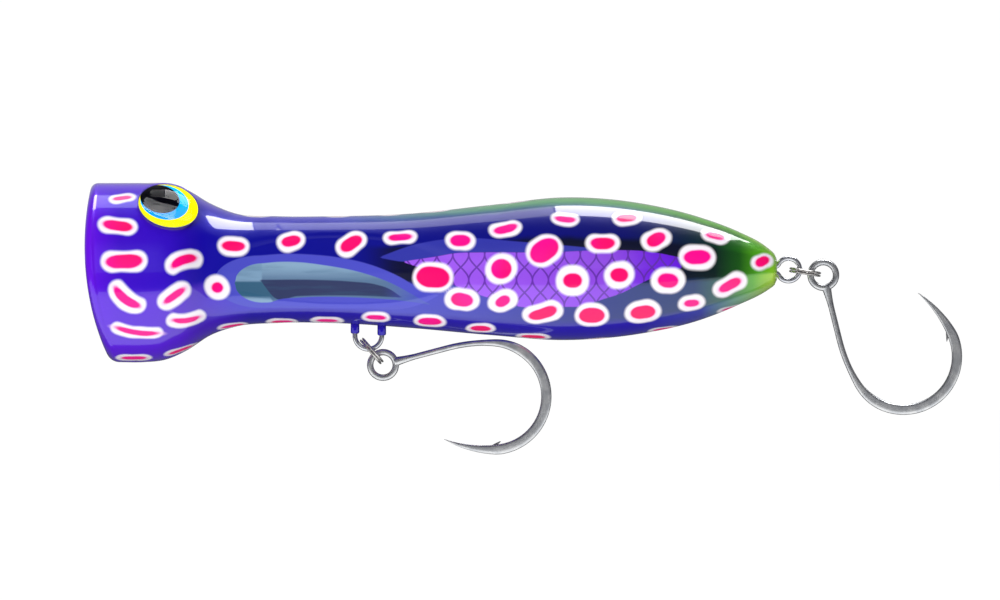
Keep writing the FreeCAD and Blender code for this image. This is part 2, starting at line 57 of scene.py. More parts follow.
def smooth_curve(where: Array, places: Sequence[float], values: Sequence[float]) -> Array:
    """Smooth curve through a few points: cubic pieces that share their slope at each point.

    That slope is the mean of the slopes on its two sides, where the shorter side counts for more.

    Args:
        where: Places to read the curve at.
        places: Rising places of the given points.
        values: Values at those places.

    Returns:
        The curve's values, level beyond its ends.
    """
    x = np.asarray(places, float)
    y = np.asarray(values, float)
    slope = np.gradient(y, x)
    at = np.clip(np.asarray(where, float), x[0], x[-1])
    i = np.clip(np.searchsorted(x, at, side="right") - 1, 0, len(x) - 2)
    gap = x[i + 1] - x[i]
    t = (at - x[i]) / gap
    rise = t * t * (3 - 2 * t)
    return (y[i] * (1 - rise) + y[i + 1] * rise
            + gap * slope[i] * t * (1 - t) ** 2 - gap * slope[i + 1] * t * t * (1 - t))


def smooth_step(value: Array, low: float, high: float) -> Array:
    """Rise smoothly from 0 at low to 1 at high."""
    t = np.clip((value - low) / (high - low), 0, 1)
    return t * t * (3 - 2 * t)


def unit(vectors: Array) -> Array:
    """Scale each vector of an array to length one."""
    return vectors / np.linalg.norm(vectors, axis=-1, keepdims=True)


@dataclass
class Skin:
    """A closed surface as vertices and faces, in mm, that can be joined to others."""

    points: Array
    quads: Array
    fans: Array

    @staticmethod
    def from_grid(grid: Array, tips: tuple[Array, Array] | None) -> "Skin":
        """Close a grid of rings into a skin.

        Args:
            grid: Points of shape (rings, columns, 3); the last column joins the first.
            tips: One point beyond each end ring, or None where the last ring joins the first.

        Returns:
            The skin, its faces turned outwards.
        """
        rings, columns = grid.shape[:2]
        index = np.arange(rings * columns).reshape(rings, columns)
        across = np.roll(index, -1, axis=1)
        if tips is None:
            after, after_across = np.roll(index, -1, axis=0), np.roll(across, -1, axis=0)
            quads = np.stack([index, across, after_across, after], -1).reshape(-1, 4)
            skin = Skin(grid.reshape(-1, 3), quads, np.zeros((0, 3), int))
        else:
            quads = np.stack([index[:-1], across[:-1], across[1:], index[1:]], -1).reshape(-1, 4)
            first, last = rings * columns, rings * columns + 1
            start = np.stack([np.full(columns, first), across[0], index[0]], -1)
            end = np.stack([np.full(columns, last), index[-1], across[-1]], -1)
            points = np.vstack([grid.reshape(-1, 3), tips[0], tips[1]])
            skin = Skin(points, quads, np.vstack([start, end]))
        return skin.outwards()

    def outwards(self) -> "Skin":
        """Turn the faces round if the skin's signed volume is negative."""
        corners = self.points[np.vstack([self.quads[:, :3], self.quads[:, [0, 2, 3]], self.fans])]
        volume = np.einsum("ij,ij->", corners[:, 0], np.cross(corners[:, 1], corners[:, 2]))
        if volume < 0:
            self.quads = self.quads[:, ::-1]
            self.fans = self.fans[:, ::-1]
        return self

    def joined(self, *others: "Skin") -> "Skin":
        """Put other skins into the same mesh."""
        points, quads, fans = [self.points], [self.quads], [self.fans]
        count = len(self.points)
        for other in others:
            points.append(other.points)
            quads.append(other.quads + count)
            fans.append(other.fans + count)
            count += len(other.points)
        return Skin(np.vstack(points), np.vstack(quads), np.vstack(fans))

    def to_object(self, name: str, attributes: dict[str, Array] | None = None) -> bpy.types.Object:
        """Make a smooth Blender object of the skin.

        Args:
            name: The piece's name.
            attributes: One value per vertex for each named attribute.

        Returns:
            The object, linked to the scene, at the origin.
        """
        mesh = bpy.data.meshes.new(name)
        loops = np.concatenate([self.quads.ravel(), self.fans.ravel()])
        sizes = np.concatenate([np.full(len(self.quads), 4), np.full(len(self.fans), 3)])
        mesh.vertices.add(len(self.points))
        mesh.vertices.foreach_set("co", (self.points * MM).ravel())
        mesh.loops.add(len(loops))
        mesh.loops.foreach_set("vertex_index", loops.astype(np.int32))
        mesh.polygons.add(len(sizes))
        mesh.polygons.foreach_set("loop_start", np.concatenate([[0], np.cumsum(sizes)[:-1]]))
        mesh.polygons.foreach_set("use_smooth", np.ones(len(sizes), bool))
        mesh.update(calc_edges=True)
        for key, values in (attributes or {}).items():
            layer = mesh.attributes.new(key, "FLOAT", "POINT")
            layer.data.foreach_set("value", np.asarray(values, np.float32))
        mesh.validate()
        piece = bpy.data.objects.new(name, mesh)
        bpy.context.scene.collection.objects.link(piece)
        return piece


def sweep(path: Array, halves: Array, side: Array, columns: int = 24, closed: bool = False,
          power: Array | float = 2.0) -> Skin:
    """Carry an oval along a path.

    Args:
        path: Centreline points of shape (rings, 3), in mm.
        halves: The oval's half widths along the side direction and across it, shape (rings, 2).
        side: A direction, or one for each ring, that the oval's first axis stays nearest to.
        columns: Points round the oval.
        closed: Whether the path's end joins its start.
        power: 2 for an ellipse; more gives flatter sides, one for all rings or one for each.

    Returns:
        The swept skin: each ring is the centre plus the oval in the plane across the path.
    """
    if closed:
        ahead = np.roll(path, -1, axis=0) - np.roll(path, 1, axis=0)
    else:
        ahead = np.gradient(path, axis=0)
    ahead = unit(ahead)
    side = np.broadcast_to(side, path.shape)
    first = unit(side - ahead * np.sum(side * ahead, -1, keepdims=True))
    second = np.cross(ahead, first)
    turn = np.linspace(0, 2 * np.pi, columns, endpoint=False)
    flat = (2 / np.broadcast_to(power, len(path)))[:, None, None]
    across, along = (np.sign(f(turn))[None, :, None] * np.abs(f(turn))[None, :, None] ** flat
                     for f in (np.cos, np.sin))
    grid = (path[:, None] + first[:, None] * (across * halves[:, None, :1])
            + second[:, None] * (along * halves[:, None, 1:]))
    if closed:
        return Skin.from_grid(grid, None)
    tips = (path[0] - ahead[0] * halves[0].min() * 0.35, path[-1] + ahead[-1] * halves[-1].min() * 0.35)
    return Skin.from_grid(grid, tips)


def lathe(radii: Array, heights: Array, columns: int = 96) -> Skin:
    """Turn a profile about the Z axis; its first and last points lie on the axis."""
    turn = np.linspace(0, 2 * np.pi, columns, endpoint=False)
    grid = np.stack([radii[1:-1, None] * np.cos(turn), radii[1:-1, None] * np.sin(turn),
                     np.broadcast_to(heights[1:-1, None], (len(radii) - 2, columns))], -1)
    ends = (np.array([0, 0, heights[0]]), np.array([0, 0, heights[-1]]))
    return Skin.from_grid(grid, ends)


def arc_points(centre: Sequence[float], radius: float, start: float, end: float, count: int) -> Array:
    """Points of an arc in the XZ plane, from start to end in degrees, either way round."""
    turn = np.radians(np.linspace(start, end, count))
    return np.stack([centre[0] + radius * np.cos(turn), np.zeros(count),
                     centre[1] + radius * np.sin(turn)], -1)


# ---------------------------------------------------------------------------------------------
# Shader nodes
# ---------------------------------------------------------------------------------------------

@dataclass
class Value:
    """A number socket that takes Python's operators, each adding one Math node."""

    shader: "Shader"
    socket: Any

    def _math(self, operation: str, first: Any, second: Any = None) -> "Value":
        """Add a Math node on two values and wrap its result."""
        node = self.shader.node("ShaderNodeMath", {"operation": operation}, {0: first, 1: second})
        return Value(self.shader, node.outputs[0])

    def __add__(self, other: Any) -> "Value":
        """Sum."""
        return self._math("ADD", self, other)

    __radd__ = __add__

    def __sub__(self, other: Any) -> "Value":
        """Difference."""
        return self._math("SUBTRACT", self, other)

    def __rsub__(self, other: Any) -> "Value":
        """Reflected difference."""
        return self._math("SUBTRACT", other, self)

    def __mul__(self, other: Any) -> "Value":
        """Product."""
        return self._math("MULTIPLY", self, other)

    __rmul__ = __mul__

    def __truediv__(self, other: Any) -> "Value":
        """Quotient."""
        return self._math("DIVIDE", self, other)

    def __pow__(self, other: Any) -> "Value":
        """Power."""
        return self._math("POWER", self, other)

    def __abs__(self) -> "Value":
        """Size without sign."""
        return self._math("ABSOLUTE", self)

    def cosine(self) -> "Value":
        """Cosine of an angle in radians."""
        return self._math("COSINE", self)

    def fraction(self) -> "Value":
        """Part after the decimal point."""
        return self._math("FRACT", self)

    def larger(self, other: Any) -> "Value":
        """Greater of two values."""
        return self._math("MAXIMUM", self, other)

    def ramp(self, low: float, high: float) -> "Value":
        """Rise smoothly from 0 at low to 1 at high, or fall where low is the higher."""
        flip = low > high
        node = self.shader.node("ShaderNodeMapRange", {"interpolation_type": "SMOOTHSTEP"},
                                {0: self, 1: min(low, high), 2: max(low, high),
                                 3: 1.0 if flip else 0.0, 4: 0.0 if flip else 1.0})
        return Value(self.shader, node.outputs[0])


class Shader:
    """One material's node tree, built by calls that add nodes."""

    def __init__(self, name: str) -> None:
        """Start a material with only its surface shader and output."""
        self.material = bpy.data.materials.new(name)
        self.material.use_nodes = True
        self.tree = self.material.node_tree
        self.tree.nodes.clear()
        self.surface = self.tree.nodes.new("ShaderNodeBsdfPrincipled")
        output = self.tree.nodes.new("ShaderNodeOutputMaterial")
        self.tree.links.new(self.surface.outputs[0], output.inputs[0])

    def node(self, kind: str, settings: dict[str, Any], inputs: dict[Any, Any]) -> Any:
        """Add a node.

        Args:
            kind: The node's type.
            settings: Its own settings, set first; stops are a ramp's (place, colour) pairs.
            inputs: A value, a colour or a link for each input.

        Returns:
            The node.
        """
        node = self.tree.nodes.new(kind)
        for key, setting in settings.items():
            if key == "stops":
                self.set_stops(node.color_ramp, setting)
            else:
                setattr(node, key, setting)
        for key, given in inputs.items():
            self.feed(node.inputs[key], given)
        return node

    @staticmethod
    def set_stops(ramp: Any, stops: Sequence[tuple[float, Colour]]) -> None:
        """Give a colour ramp its stops."""
        while len(ramp.elements) > 1:
            ramp.elements.remove(ramp.elements[-1])
        ramp.elements[0].position = stops[0][0]
        ramp.elements[0].color = (*stops[0][1], 1)
        for place, colour in stops[1:]:
            ramp.elements.new(place).color = (*colour, 1)

    def feed(self, socket: Any, given: Any) -> None:
        """Link or set one input."""
        if given is None:
            return
        if isinstance(given, Value):
            self.tree.links.new(given.socket, socket)
        elif isinstance(given, bpy.types.NodeSocket):
            self.tree.links.new(given, socket)
        elif isinstance(given, tuple) and len(given) == 3 and socket.type == "RGBA":
            socket.default_value = (*given, 1)
        else:
            socket.default_value = given

    def attribute(self, name: str) -> Value:
        """Read one of the piece's own vertex attributes."""
        return Value(self, self.node("ShaderNodeAttribute", {"attribute_name": name}, {}).outputs["Fac"])

    def place(self) -> tuple[Value, Value, Value]:
        """Object coordinates X, Y and Z in mm."""
        spot = self.node("ShaderNodeTexCoord", {}, {}).outputs["Object"]
        parts = self.node("ShaderNodeSeparateXYZ", {}, {0: spot}).outputs
        return tuple(Value(self, part) * 1000.0 for part in parts)

    def noise(self, scale: float, detail: float = 2.0, stretch: Colour = (1, 1, 1)) -> Value:
        """Noise on object coordinates, in patches per metre, with its mean near a half."""
        spot = self.node("ShaderNodeTexCoord", {}, {}).outputs["Object"]
        placed = self.node("ShaderNodeMapping", {}, {"Vector": spot, "Scale": stretch}).outputs[0]
        made = self.node("ShaderNodeTexNoise", {}, {"Vector": placed, "Scale": scale, "Detail": detail})
        return Value(self, made.outputs["Fac"])

    def ramp(self, where: Value, stops: Sequence[tuple[float, Colour]]) -> Any:
        """Colour ramp over a value."""
        return self.node("ShaderNodeValToRGB", {"stops": stops}, {0: where}).outputs[0]

    def mix(self, mask: Any, below: Any, above: Any) -> Any:
        """Mix two colours by a mask, 0 for below and 1 for above."""
        node = self.node("ShaderNodeMix", {"data_type": "RGBA"}, {0: mask})
        self.feed(node.inputs[6], below)
        self.feed(node.inputs[7], above)
        return node.outputs[2]

    def bump(self, height: Value, strength: float, distance: float) -> None:
        """Feed a bump from a height to the surface's normal."""
        node = self.node("ShaderNodeBump", {}, {"Strength": strength, "Distance": distance,
                                                "Height": height})
        self.tree.links.new(node.outputs[0], self.surface.inputs["Normal"])

    def finish(self, **inputs: Any) -> bpy.types.Material:
        """Set the surface's inputs, an underscore standing for a space, and give the material back."""
        for key, given in inputs.items():
            self.feed(self.surface.inputs[key.replace("_", " ")], given)
        return self.material


@dataclass(frozen=True)
class Metal:
    """A bright metal finish with faint drawing marks and, on a hook, painted shade darkening the outline of
    the rod.
    """

    name: str
    light: Colour
    dark: Colour
    roughness: float
    marks: float = 900.0
    # edge: colour of the painted shade along a hook's outline
    edge: Colour | None = None

    def material(self) -> bpy.types.Material:
        """Make the material; the painted edge shade comes from the piece's own edge attribute."""
        shader = Shader(self.name)
        patches = shader.noise(self.marks, 3.0)
        fine = shader.noise(self.marks * 6, 2.0)
        colour = shader.mix(patches.ramp(0.35, 0.7), self.dark, self.light)
        if self.edge:
            # painted shade: darker where the edge attribute marks the rod's outline
            colour = shader.mix(shader.attribute("edge").ramp(0.80, 0.97), colour, self.edge)
        shader.bump(fine, 0.06, 0.00005)
        return shader.finish(Base_Color=colour, Metallic=1.0,
                             Roughness=patches * 0.12 + (self.roughness - 0.06))


@dataclass(frozen=True)
class Plastic:
    """A plain moulded plastic with a faint grain."""

    name: str
    colour: Colour
    shade: Colour
    roughness: float

    def material(self) -> bpy.types.Material:
        """Make the material."""
        shader = Shader(self.name)
        grain = shader.noise(1500.0, 3.0)
        shader.bump(grain, 0.1, 0.0001)
        return shader.finish(Base_Color=shader.mix(grain.ramp(0.3, 0.7), self.shade, self.colour),
                             Roughness=grain * 0.1 + self.roughness)


@dataclass(frozen=True)
class ClearDome:
    """Clear cast resin with a polished face."""

    name: str = "clear_dome"

    def material(self) -> bpy.types.Material:
        """Make the material."""
        shader = Shader(self.name)
        haze = shader.noise(700.0, 2.0)
        shader.surface.inputs["Transmission Weight"].default_value = 1.0
        shader.surface.inputs["IOR"].default_value = 1.04
        shader.surface.inputs["Coat Weight"].default_value = 1.0
        shader.surface.inputs["Coat Roughness"].default_value = 0.01
        shader.surface.inputs["Coat IOR"].default_value = 1.18
        return shader.finish(Base_Color=shader.mix(haze, (0.97, 0.99, 1.0), (1.0, 1.0, 1.0)),
                             Roughness=haze * 0.01)


@dataclass(frozen=True)
class EyePrint:
    """Printed disc: yellow ground, blue ring and black pupil set forward and up; it glows with its own
    colours, a painted light.
    """

    name: str = "eye_print"
    yellow: Colour = (0.95, 0.88, 0.0)
    blue: Colour = (0.0, 0.30, 0.90)
    light_blue: Colour = (0.0, 0.55, 0.95)
    black: Colour = (0.001, 0.001, 0.003)
    rim: Colour = (0.03, 0.02, 0.20)

    def material(self) -> bpy.types.Material:
        """Make the material: each ring is a distance from its own centre, cut by a sharp ramp."""
        shader = Shader(self.name)
        u, v = shader.attribute("eye_u"), shader.attribute("eye_v")

        def disc(centre_u: float, centre_v: float, radius: float) -> Value:
            """Mask of a disc in the eye's own plane."""
            far = ((u - centre_u) ** 2.0 + (v - centre_v) ** 2.0) ** 0.5
            return far.ramp(radius + 0.06, radius - 0.06)

        ink = shader.noise(2500.0, 2.0)
        blue = shader.mix(v.ramp(-3.0, 4.0), self.blue, self.light_blue)
        colour = shader.mix(disc(-0.85, 0.9, 5.25), self.yellow, blue)
        colour = shader.mix(disc(-1.85, 1.75, 4.3), colour, self.black)
        colour = shader.mix(disc(0.0, 0.0, 6.5), self.rim, colour)
        # painted light: the print glows with its own colours in place of the light that the dome keeps off it
        shader.surface.inputs["Emission Strength"].default_value = 0.75
        shader.surface.inputs["Specular IOR Level"].default_value = 0.0
        return shader.finish(Base_Color=colour, Roughness=ink * 0.1 + 0.3, Emission_Color=colour)


@dataclass(frozen=True)
class Paint:
    """Candy colours over foil with pink spots, a scale window and a fin panel, under clear coat.

    Each ramp runs from the face, 0, to the tail, 1.
    """

    name: str = "lure_paint"
    pink: Colour = (0.98, 0.0, 0.27)
    hot_pink: Colour = (0.97, 0.0, 0.14)
    blush: Colour = (0.95, 0.62, 0.90)
    white: Colour = (0.96, 0.91, 0.97)
    # upper: the upper side's navy, partly the lure's own colour and partly painted dark reflection
    upper: tuple = ((0.0, (0.17, 0.006, 0.85)), (0.02, (0.09, 0.001, 0.70)), (0.05, (0.045, 0.0, 0.56)),
                    (0.12, (0.03, 0.0, 0.54)), (0.17, (0.006, 0.0, 0.42)), (0.22, (0.0, 0.0, 0.30)),
                    (0.42, (0.0, 0.001, 0.25)), (0.60, (0.0, 0.001, 0.21)), (0.78, (0.0, 0.001, 0.14)),
                    (0.86, (0.0, 0.01, 0.05)), (0.91, (0.0, 0.025, 0.015)), (0.945, (0.012, 0.13, 0.006)),
                    (0.975, (0.09, 0.42, 0.006)), (1.0, (0.30, 0.70, 0.02)))
    # deep: the dark band just above the middle line from 0.4 back, a painted dark reflection of the dark
    # surround
    deep: tuple = ((0.40, (0.0, 0.001, 0.10)), (0.46, (0.0, 0.001, 0.028)), (0.86, (0.0, 0.002, 0.02)),
                   (0.91, (0.0, 0.012, 0.012)), (0.945, (0.008, 0.09, 0.006)), (0.975, (0.07, 0.36, 0.006)),
                   (1.0, (0.30, 0.70, 0.02)))
    # lower: the band below the middle line, partly the lure's own colour and partly a lighter painted
    # reflection of the bright card
    lower: tuple = ((0.0, (0.13, 0.02, 0.74)), (0.05, (0.10, 0.018, 0.64)), (0.14, (0.09, 0.02, 0.60)),
                    (0.22, (0.055, 0.04, 0.56)), (0.45, (0.055, 0.06, 0.54)), (0.58, (0.04, 0.045, 0.42)),
                    (0.72, (0.015, 0.03, 0.23)), (0.88, (0.012, 0.04, 0.15)), (0.93, (0.04, 0.15, 0.08)),
                    (0.965, (0.12, 0.42, 0.05)), (1.0, (0.50, 0.80, 0.07)))
    belly: tuple = ((0.0, (0.11, 0.0, 0.78)), (0.14, (0.08, 0.0, 0.68)), (0.24, (0.01, 0.0, 0.36)),
                    (0.80, (0.012, 0.0, 0.42)), (0.89, (0.05, 0.06, 0.42)), (0.95, (0.25, 0.50, 0.30)),
                    (1.0, (0.50, 0.80, 0.07)))
    back: tuple = ((0.0, (0.14, 0.018, 0.90)), (0.12, (0.12, 0.02, 0.80)), (0.20, (0.06, 0.04, 0.60)),
                   (0.36, (0.08, 0.08, 0.62)), (0.46, (0.08, 0.22, 0.36)), (0.58, (0.14, 0.42, 0.22)),
                   (0.80, (0.13, 0.45, 0.10)), (0.93, (0.13, 0.52, 0.01)), (1.0, (0.40, 0.76, 0.04)))
    window: tuple = ((0.45, (0.36, 0.10, 0.86)), (0.62, (0.30, 0.08, 0.80)), (0.76, (0.26, 0.06, 0.74)),
                     (0.82, (0.16, 0.012, 0.74)), (0.87, (0.12, 0.0, 0.72)))
    slate: Colour = (0.035, 0.04, 0.42)
    scale_line: Colour = (0.10, 0.02, 0.34)
    scale_pitch: float = 3.45
    scale_height: float = 5.5
    scale_middle: float = -2.26
    # The fin panel's light and dark tones are painted reflection of the studio in a mirror-like fin.
    panel: Colour = (0.25, 0.40, 0.56)
    panel_low_reflection: Colour = (0.09, 0.17, 0.30)
    panel_front: Colour = (0.20, 0.34, 0.50)
    panel_teal: Colour = (0.03, 0.11, 0.20)
    panel_dark_reflection: Colour = (0.022, 0.034, 0.11)
    # surround: the scoop's lighter colour, a painted reflection of the bright card in its hollow
    surround: Colour = (0.07, 0.075, 0.56)

    def scales(self, x: Value, z: Value) -> Value:
        """Net of crossing waves: lines at whole pitches along the lure, swung by plus or minus a
        half pitch times the cosine of the height over a scale's height."""
        phase = (z - self.scale_middle) * (math.pi / self.scale_height)
        swing = phase.cosine() * 0.5
        slope = ((1.0 - swing * swing * 4.0) * 0.97 + 1.0) ** 0.5
        masks = []
        for sign in (1.0, -1.0):
            far = abs((x / self.scale_pitch + swing * sign + 0.5).fraction() - 0.5) * self.scale_pitch
            masks.append((far / slope).ramp(0.24, 0.12))
        return masks[0].larger(masks[1])

    def ground(self, shader: Shader, along: Value, height: Value, mist: Value) -> Any:
        """Blend the bands of colour from belly to back. They are partly the lure's own colours and partly
        painted reflection: a darker upper side and a dark band above the middle line for the dark surround,
        and a lighter lower band for the bright card.
        """
        soft = height + (mist - 0.5) * 0.06
        # painted dark reflection: the deep band darkens the side just above the middle line
        side = shader.mix(soft.ramp(0.33, 0.25) * along.ramp(0.38, 0.45), shader.ramp(along, self.upper),
                          shader.ramp(along, self.deep))
        # partly painted reflection: the lighter lower band stands in part for the bright card reflected
        side = shader.mix(soft.ramp(-0.10, -0.18), side, shader.ramp(along, self.lower))
        side = shader.mix(soft.ramp(-0.50, -0.62), side, shader.ramp(along, self.belly))
        return shader.mix(soft.ramp(0.62, 0.84), side, shader.ramp(along, self.back))

    def fin(self, shader: Shader, x: Value, z: Value) -> Any:
        """Fin panel with faint rays and a slanting light edge at its front; its lighter upper tone, darker
        lower tone and dark band are painted reflection of the studio in a mirror-like fin.
        """
        front = shader.attribute("fin_front")
        # painted reflection: lighter above, darker below
        tone = shader.mix(z.ramp(1.2, -3.0), self.panel, self.panel_low_reflection)
        tone = shader.mix(front.ramp(0.25, -0.25), tone, self.panel_front)
        teal = z.ramp(-2.3, -2.9) * z.ramp(-6.6, -5.6) * front.ramp(2.6, 1.2)
        tone = shader.mix(teal, tone, self.panel_teal)
        # painted reflection: a dark band reflected across the fin
        dark = shader.attribute("fin_dark")
        tone = shader.mix(dark.ramp(-0.15, 0.2), tone, self.panel_dark_reflection)
        streak = shader.noise(90.0, 3.0, (1.0, 1.0, 9.0)).ramp(0.45, 0.7)
        return shader.mix(streak * 0.25, tone, self.panel_teal)

    def material(self) -> bpy.types.Material:
        """Make the material, from the ground colour up to the spots."""
        shader = Shader(self.name)
        x, _, z = shader.place()
        along = (x - NOSE) / LENGTH
        mist = shader.noise(160.0, 3.0)
        colour = self.ground(shader, along, shader.attribute("side_height"), mist)
        # painted reflection: the leaf over the scoop takes the colour of the card reflected in it
        colour = shader.mix(shader.attribute("leaf").ramp(-0.18, 0.18), colour, self.surround)
        faded = 1.0 - x.ramp(58.0, 68.0) * 0.75
        panel = shader.attribute("panel").ramp(-0.15, 0.15) * faded
        colour = shader.mix(panel, colour, self.fin(shader, x, z))
        colour = shader.mix(shader.attribute("slate").ramp(-0.15, 0.15) * 0.9, colour, self.slate)
        scaly = shader.mix(self.scales(x, z) * 0.85, shader.ramp(along, self.window), self.scale_line)
        colour = shader.mix(shader.attribute("window").ramp(-0.12, 0.12), colour, scaly)
        wobble = (mist - 0.5) * 0.5
        ring = (shader.attribute("halo") + wobble).ramp(0.42, -0.45)
        spot = shader.attribute("spot") + wobble
        colour = shader.mix(ring, colour, self.white)
        colour = shader.mix(spot.ramp(0.55, -0.05), colour, self.blush)
        core = shader.mix(shader.noise(60.0, 1.0).ramp(0.42, 0.62), self.pink, self.hot_pink)
        dab = spot.ramp(0.22, -0.18)
        colour = shader.mix(dab, colour, core)
        shader.bump(shader.noise(4200.0, 1.0), 0.02, 0.00003)
        shader.surface.inputs["Coat Roughness"].default_value = 0.04
        shader.surface.inputs["Coat IOR"].default_value = 1.5
        shader.surface.inputs["Specular IOR Level"].default_value = 0.15
        return shader.finish(Base_Color=colour, Metallic=(1.0 - ring) * 0.12,
                             Roughness=ring * 0.1 + 0.35, Coat_Weight=1.0 - dab * 0.45 - mist * 0.02)


# ---------------------------------------------------------------------------------------------
# The lure's hull
# ---------------------------------------------------------------------------------------------

@dataclass(frozen=True)
class Spot:
    """A pink spot with its white ring, in mm over the side view; bend lifts its ends."""

    along: float
    height: float
    long: float
    tall: float
    tilt: float
    ring: float
    bend: float = 0.0


SPOTS = (
    Spot(8.1, 15.5, 4.0, 1.4, 14, 0.95), Spot(7.2, 9.5, 6.5, 2.5, -9, 0.95),
    Spot(8.6, 1.8, 8.1, 3.0, 3, 0.9), Spot(21.4, 1.9, 5.8, 2.0, 17, 1.2, -0.06),
    Spot(9.0, -6.3, 7.0, 1.9, -38, 1.25, 0.05), Spot(19.4, -5.7, 5.4, 1.5, 34, 1.4),
    Spot(11.2, -13.5, 9.6, 1.45, -12, 0.95, 0.022), Spot(22.0, -10.9, 5.8, 1.3, 2, 1.3, 0.075),
    Spot(10.5, -19.2, 5.2, 2.3, 0, 1.2), Spot(20.7, -17.5, 5.2, 2.0, 8, 1.0),
    Spot(28.7, -3.9, 2.5, 2.4, 0, 1.6), Spot(32.2, 5.1, 5.0, 2.3, 0, 1.1),
    Spot(44.6, 6.2, 4.3, 2.7, 16, 1.1), Spot(57.7, 5.7, 5.3, 2.8, 38, 1.05),
    Spot(68.2, 7.0, 5.3, 1.8, 5, 0.95), Spot(81.3, 6.3, 4.4, 2.8, 0, 1.0),
    Spot(91.0, 8.8, 5.2, 2.1, 17, 1.05, 0.03), Spot(99.5, 4.2, 6.6, 4.6, 35, 0.9),
    Spot(75.4, -1.7, 7.3, 4.5, -5, 0.9), Spot(90.2, 0.2, 4.4, 4.3, 0, 1.25),
    Spot(81.7, -6.6, 4.9, 3.3, -12, 1.2), Spot(90.5, -6.9, 3.5, 2.5, 36, 1.45),
    Spot(99.2, -9.5, 6.4, 2.9, 22, 1.3, 0.02), Spot(74.7, -11.3, 5.0, 3.0, 0, 1.1),
    Spot(63.0, -10.4, 4.4, 1.9, 0, 1.05), Spot(85.7, -12.8, 4.3, 2.6, 0, 1.1),
    Spot(97.0, -14.6, 5.2, 2.6, 0, 1.1), Spot(52.4, -11.1, 4.4, 2.0, 0, 1.3),
    Spot(42.6, -11.3, 4.6, 2.2, 0, 1.2), Spot(32.0, -12.2, 4.8, 2.0, 4, 1.0),
    Spot(105.6, -2.4, 4.1, 3.2, 0, 1.7), Spot(115.7, -1.2, 3.9, 3.1, 0, 1.4),
    Spot(126.3, -2.4, 4.5, 3.2, -4, 1.4), Spot(112.1, 5.7, 5.3, 2.6, 0, 1.0, 0.02),
    Spot(123.8, 6.6, 4.4, 2.9, 36, 1.15), Spot(132.6, 2.7, 5.7, 3.0, 2, 1.25),
    Spot(109.8, -10.0, 5.6, 4.4, 0, 1.1), Spot(120.9, -9.3, 5.6, 3.9, 10, 1.35),
    Spot(131.4, -7.3, 3.3, 2.0, 4, 1.3), Spot(139.7, -3.4, 5.4, 2.1, 30, 1.2),
    Spot(146.8, 1.8, 3.3, 2.1, 32, 0.8), Spot(136.6, 7.3, 4.1, 1.8, -15, 1.1),
    Spot(104.0, 10.9, 4.5, 1.7, -10, 1.0, 0.04), Spot(117.4, 11.2, 4.4, 2.2, 8, 1.1),
    Spot(111.0, -15.1, 4.4, 2.6, 0, 1.1), Spot(125.4, -12.9, 4.4, 2.4, 0, 1.1),
    Spot(139.8, -8.4, 3.4, 2.0, 0, 1.0), Spot(37.0, 12.0, 3.2, 1.5, 0, 1.7),
    Spot(54.5, 12.0, 3.2, 1.5, 0, 1.7), Spot(66.0, 13.0, 3.0, 1.5, 0, 1.5),
    Spot(76.0, 14.0, 3.6, 1.6, 0, 1.6), Spot(93.0, 16.0, 4.4, 1.8, 0, 1.5),
    Spot(15.5, 20.0, 4.0, 1.8, 0, 1.4),
)

# Panel outlines over the side view: (place along the lure, height), lower edges then upper edges.
WINDOW = (((69.3, 1.5), (75, -0.6), (80, -3.4), (84, -5.0), (88, -6.3), (94, -8.0), (104, -8.1), (108, -7.9),
           (112, -6.5), (116, -5.2), (120, -3.2), (122.5, -2.0), (129, 0.3)),
          ((69.3, 1.8), (72, 2.2), (76, 2.8), (80, 3.5), (86, 3.7), (100, 3.7), (114, 4.2), (122, 3.9),
           (129, 2.6)))
SLATE = (((64, 2.5), (69.3, 1.7), (76, 2.8), (80, 3.5), (86, 3.7), (100, 3.7), (114, 4.15)),
         ((64, 2.8), (70, 5.0), (76, 6.3), (84, 6.8), (92, 6.2), (104, 5.2), (114, 4.25)))
# LEAF outlines the scoop's painted reflection of the bright card.
LEAF = (((38, -8.3), (60, -8.4), (70, -8.3), (74, -7.0), (76.5, -5.6)),
        ((38, 3.05), (43, 3.4), (48, 3.3), (55, 2.6), (62, 1.0), (68, -1.5), (72, -3.8), (76.5, -5.4)))
PANEL = (((38.5, -7.15), (40, -7.1), (42, -6.5), (46, -6.1), (60, -6.1), (70, -6.9), (74.5, -7.6)),
         ((38.5, 1.35), (42, 1.65), (46, 1.6), (52, 0.9), (60, -0.7), (66, -2.8), (72, -6.0), (74.5, -7.4)))
# Outline of the dark band across the fin panel, a painted reflection.
FIN_DARK_REFLECTION = (((38, -2.4), (41, -6.1), (46, -5.8), (60, -5.7), (68.5, -6.1)),
            ((38, -2.2), (50, -2.2), (58, -2.6), (63, -3.2), (66, -4.2), (68.5, -5.9)))
LEAF_NOSE = 10.0       # length of the leaf's elliptic front end, in mm
PANEL_NOSE = 6.1       # and of the fin panel's


class Zone(Enum):
    """Stretches of the hull's rings, from the cup's floor out over the lip to the tail."""

    CUP = "cup"
    LIP_INNER = "inner half of the lip"
    LIP_OUTER = "outer half of the lip"
    SIDE = "side"


# Rings in each stretch. The paint starts on the lip, UNPAINTED_RINGS out from the cup's floor.
RING_COUNTS = {Zone.CUP: 40, Zone.LIP_INNER: 6, Zone.LIP_OUTER: 10, Zone.SIDE: 306}
UNPAINTED_RINGS = 44
FRONT_RINGS = RING_COUNTS[Zone.CUP] + RING_COUNTS[Zone.LIP_INNER] + RING_COUNTS[Zone.LIP_OUTER]
FAR_OUTSIDE = 50.0     # distance from a spot, in mm, where there is none
SPOT_STRAIGHT = 0.45          # share of a spot's length over its height that is straight
RING_SWAY = 0.15              # how far the spots' rings sway in and out, in mm
BARE = -5.0            # distance inside an outline, in mm, where there is none


